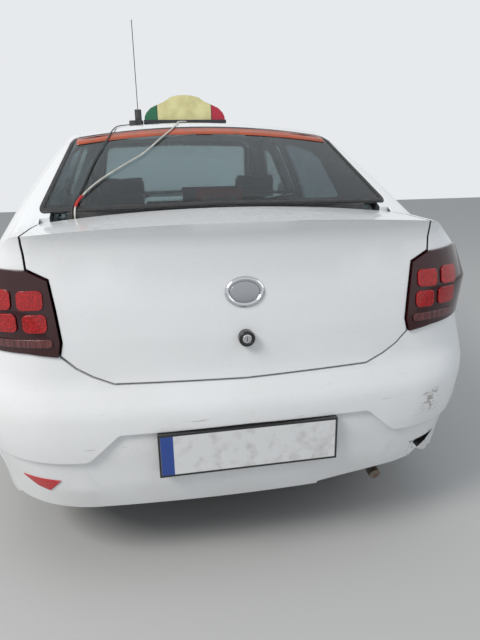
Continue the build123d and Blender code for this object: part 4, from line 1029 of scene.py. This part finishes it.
for side, sign in (("right", 1), ("left", -1)):
    for x in (0.300, 0.450):
        headrest_post(f"headrest_post_{side}_{int(x * 1000)}", sign * x,
                      (-0.470, 1.000), (-0.466, 1.035), (-0.462, 1.07), "front_seats")
    for x in (0.205, 0.540):
        edges = (sign * x - RUNNER_HALF_WIDTH, sign * x + RUNNER_HALF_WIDTH)
        runner = cut_form("seat_runner", RUNNER_SIDE, *edges)
        rail_name = f"seat_runner_{side}_{int(x * 1000)}"
        rail = in_scene(rail_name, runner, frame_steel, "car_body", smooth=False)
        rail.modifiers.new("rolled_edges", "BEVEL").width = 0.003
        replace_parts(rail, "front_seats")
    headrest_post(f"rear_headrest_post_{side}", sign * 0.35,
                  (-1.088, 0.995), (-1.086, 1.02), (-1.084, 1.045), "rear_bench")

# Cabin trim in dark grey grained plastic: the dashboard with its console, the shelf behind the bench, and
# the steering wheel. Round vents, two bare dials and a dark bare panel are set in the dashboard's face.
trim, shader = new_finish("grey_trim", (0.055, 0.056, 0.06), 0.6)
mottled(shader, 20.0, 7.0, 0.45, 0.8, (0.050, 0.051, 0.055), (0.10, 0.098, 0.094))
grained(shader, 500.0, 3.0, 0.2, 0.001, edge=0.004)
dress(trim, "dashboard", "steering_wheel", "rear_shelf")
dash_skin = skin_of(nodes["dashboard"])
dial_face, shader = new_finish("dial_face", (0.008, 0.008, 0.009), 0.2)
lacquer(shader, 0.6)
uneven_gloss(shader, 50.0, 4.0, 0.3, 0.8, 0.15, 0.35)
for name, x, z, radius, ring_finish in (
    ("vent_outer_left", -0.61, 0.80, 0.036, chrome), ("vent_outer_right", 0.61, 0.80, 0.036, chrome),
    ("vent_mid_left", -0.075, 0.835, 0.034, chrome), ("vent_mid_right", 0.075, 0.835, 0.034, chrome),
    ("dial_left", -0.43, 0.855, 0.040, black_plastic), ("dial_right", -0.31, 0.855, 0.040, black_plastic),
):
    band(f"{name}_ring", dash_skin, "rear", circle(x, z, radius), 0.0, 0.006, 0.001, ring_finish,
         crown=0.002, steps=4)
    disc(f"{name}_face", dash_skin, "rear", circle(x, z, radius - 0.006), (x, z), 0.0008, dial_face,
         rings=3)
panel_edge = rounded(((-0.09, 0.70), (0.09, 0.70), (0.09, 0.785), (-0.09, 0.785)), 0.01)
disc("centre_panel", dash_skin, "rear", panel_edge, (0.0, 0.742), 0.001, dial_face)

# Running gear under the floor: black-painted steel with road film and rust, the cast engine, and the
# exhaust in bare steel gone brown.
for name, base, roughness, metallic, patches, shades, graining, pieces in (
    ("chassis_steel", (0.035, 0.034, 0.033), 0.6, 0.3, (14.0, 9.0, 0.5, 0.68),
     ((0.035, 0.034, 0.033), (0.13, 0.06, 0.03)), (220.0, 4.0, 0.3, 0.002),
     ("front_subframe", "rear_axle", "knuckle_right", "knuckle_left")),
    ("cast_engine", (0.2, 0.2, 0.205), 0.55, 0.7, (11.0, 8.0, 0.42, 0.7),
     ((0.22, 0.22, 0.225), (0.05, 0.045, 0.04)), (300.0, 4.0, 0.4, 0.002), ("engine_block",)),
    ("exhaust_steel", (0.22, 0.2, 0.18), 0.5, 0.8, (20.0, 9.0, 0.42, 0.62),
     ((0.25, 0.24, 0.22), (0.16, 0.075, 0.035)), (260.0, 4.0, 0.3, 0.001), ("exhaust",)),
):
    metal, shader = new_finish(name, base, roughness, metallic)
    mottled(shader, *patches, *shades)
    grained(shader, *graining)
    dress(metal, *pieces)

# Floor and studio: a pale floor that keeps the car's shadow, pale surroundings and two soft lamps.
HALF_FLOOR = 14
floor_mesh = bpy.data.meshes.new("studio_floor")
floor_corners = [(x * HALF_FLOOR, y * HALF_FLOOR, 0) for x, y in ((-1, -1), (1, -1), (1, 1), (-1, 1))]
floor_mesh.from_pydata(floor_corners, [], [(0, 1, 2, 3)])
floor = placed("studio_floor", floor_mesh)
floor_finish, shader = new_finish("studio_floor", (0.50, 0.50, 0.495), 0.8)
floor_mesh.materials.append(floor_finish)
world = bpy.data.worlds.new("studio")
bpy.context.scene.world = world
world.use_nodes = True
sky = world.node_tree
shown = sky.nodes["Background"]
lighting = add(sky, "ShaderNodeBackground")
for background, colour, strength in ((shown, (0.80, 0.82, 0.84), 1.0), (lighting, (0.90, 0.95, 1.0), 0.52)):
    background.inputs["Color"].default_value = (*colour, 1.0)
    background.inputs["Strength"].default_value = strength
path = add(sky, "ShaderNodeLightPath").outputs
choice = add(sky, "ShaderNodeMixShader")
seen = combined(combined(path["Is Camera Ray"], path["Is Glossy Ray"], "MAXIMUM"),
                path["Is Transmission Ray"], "MAXIMUM")
link(seen, choice.inputs["Fac"])
link(lighting.outputs["Background"], choice.inputs[1])
link(shown.outputs["Background"], choice.inputs[2])
link(choice.outputs["Shader"], sky.nodes["World Output"].inputs["Surface"])
for name, spot, size, power, colour in (
    ("soft_key", (-4.6, -4.5, 5.6), 2.6, 360.0, (1.0, 0.97, 0.93)),
    ("soft_fill", (6.0, -3.0, 4.0), 4.0, 80.0, (0.90, 0.95, 1.0)),
):
    lamp = bpy.data.lights.new(name, "AREA")
    lamp.size = size
    lamp.energy = power
    lamp.color = colour
    lamp_object = placed(name, lamp)
    lamp_object.location = spot
    aim = Vector((0.0, 0.0, 0.7)) - Vector(spot)
    lamp_object.rotation_euler = aim.to_track_quat("-Z", "Y").to_euler()

bpy.context.scene.view_settings.view_transform = "Standard"
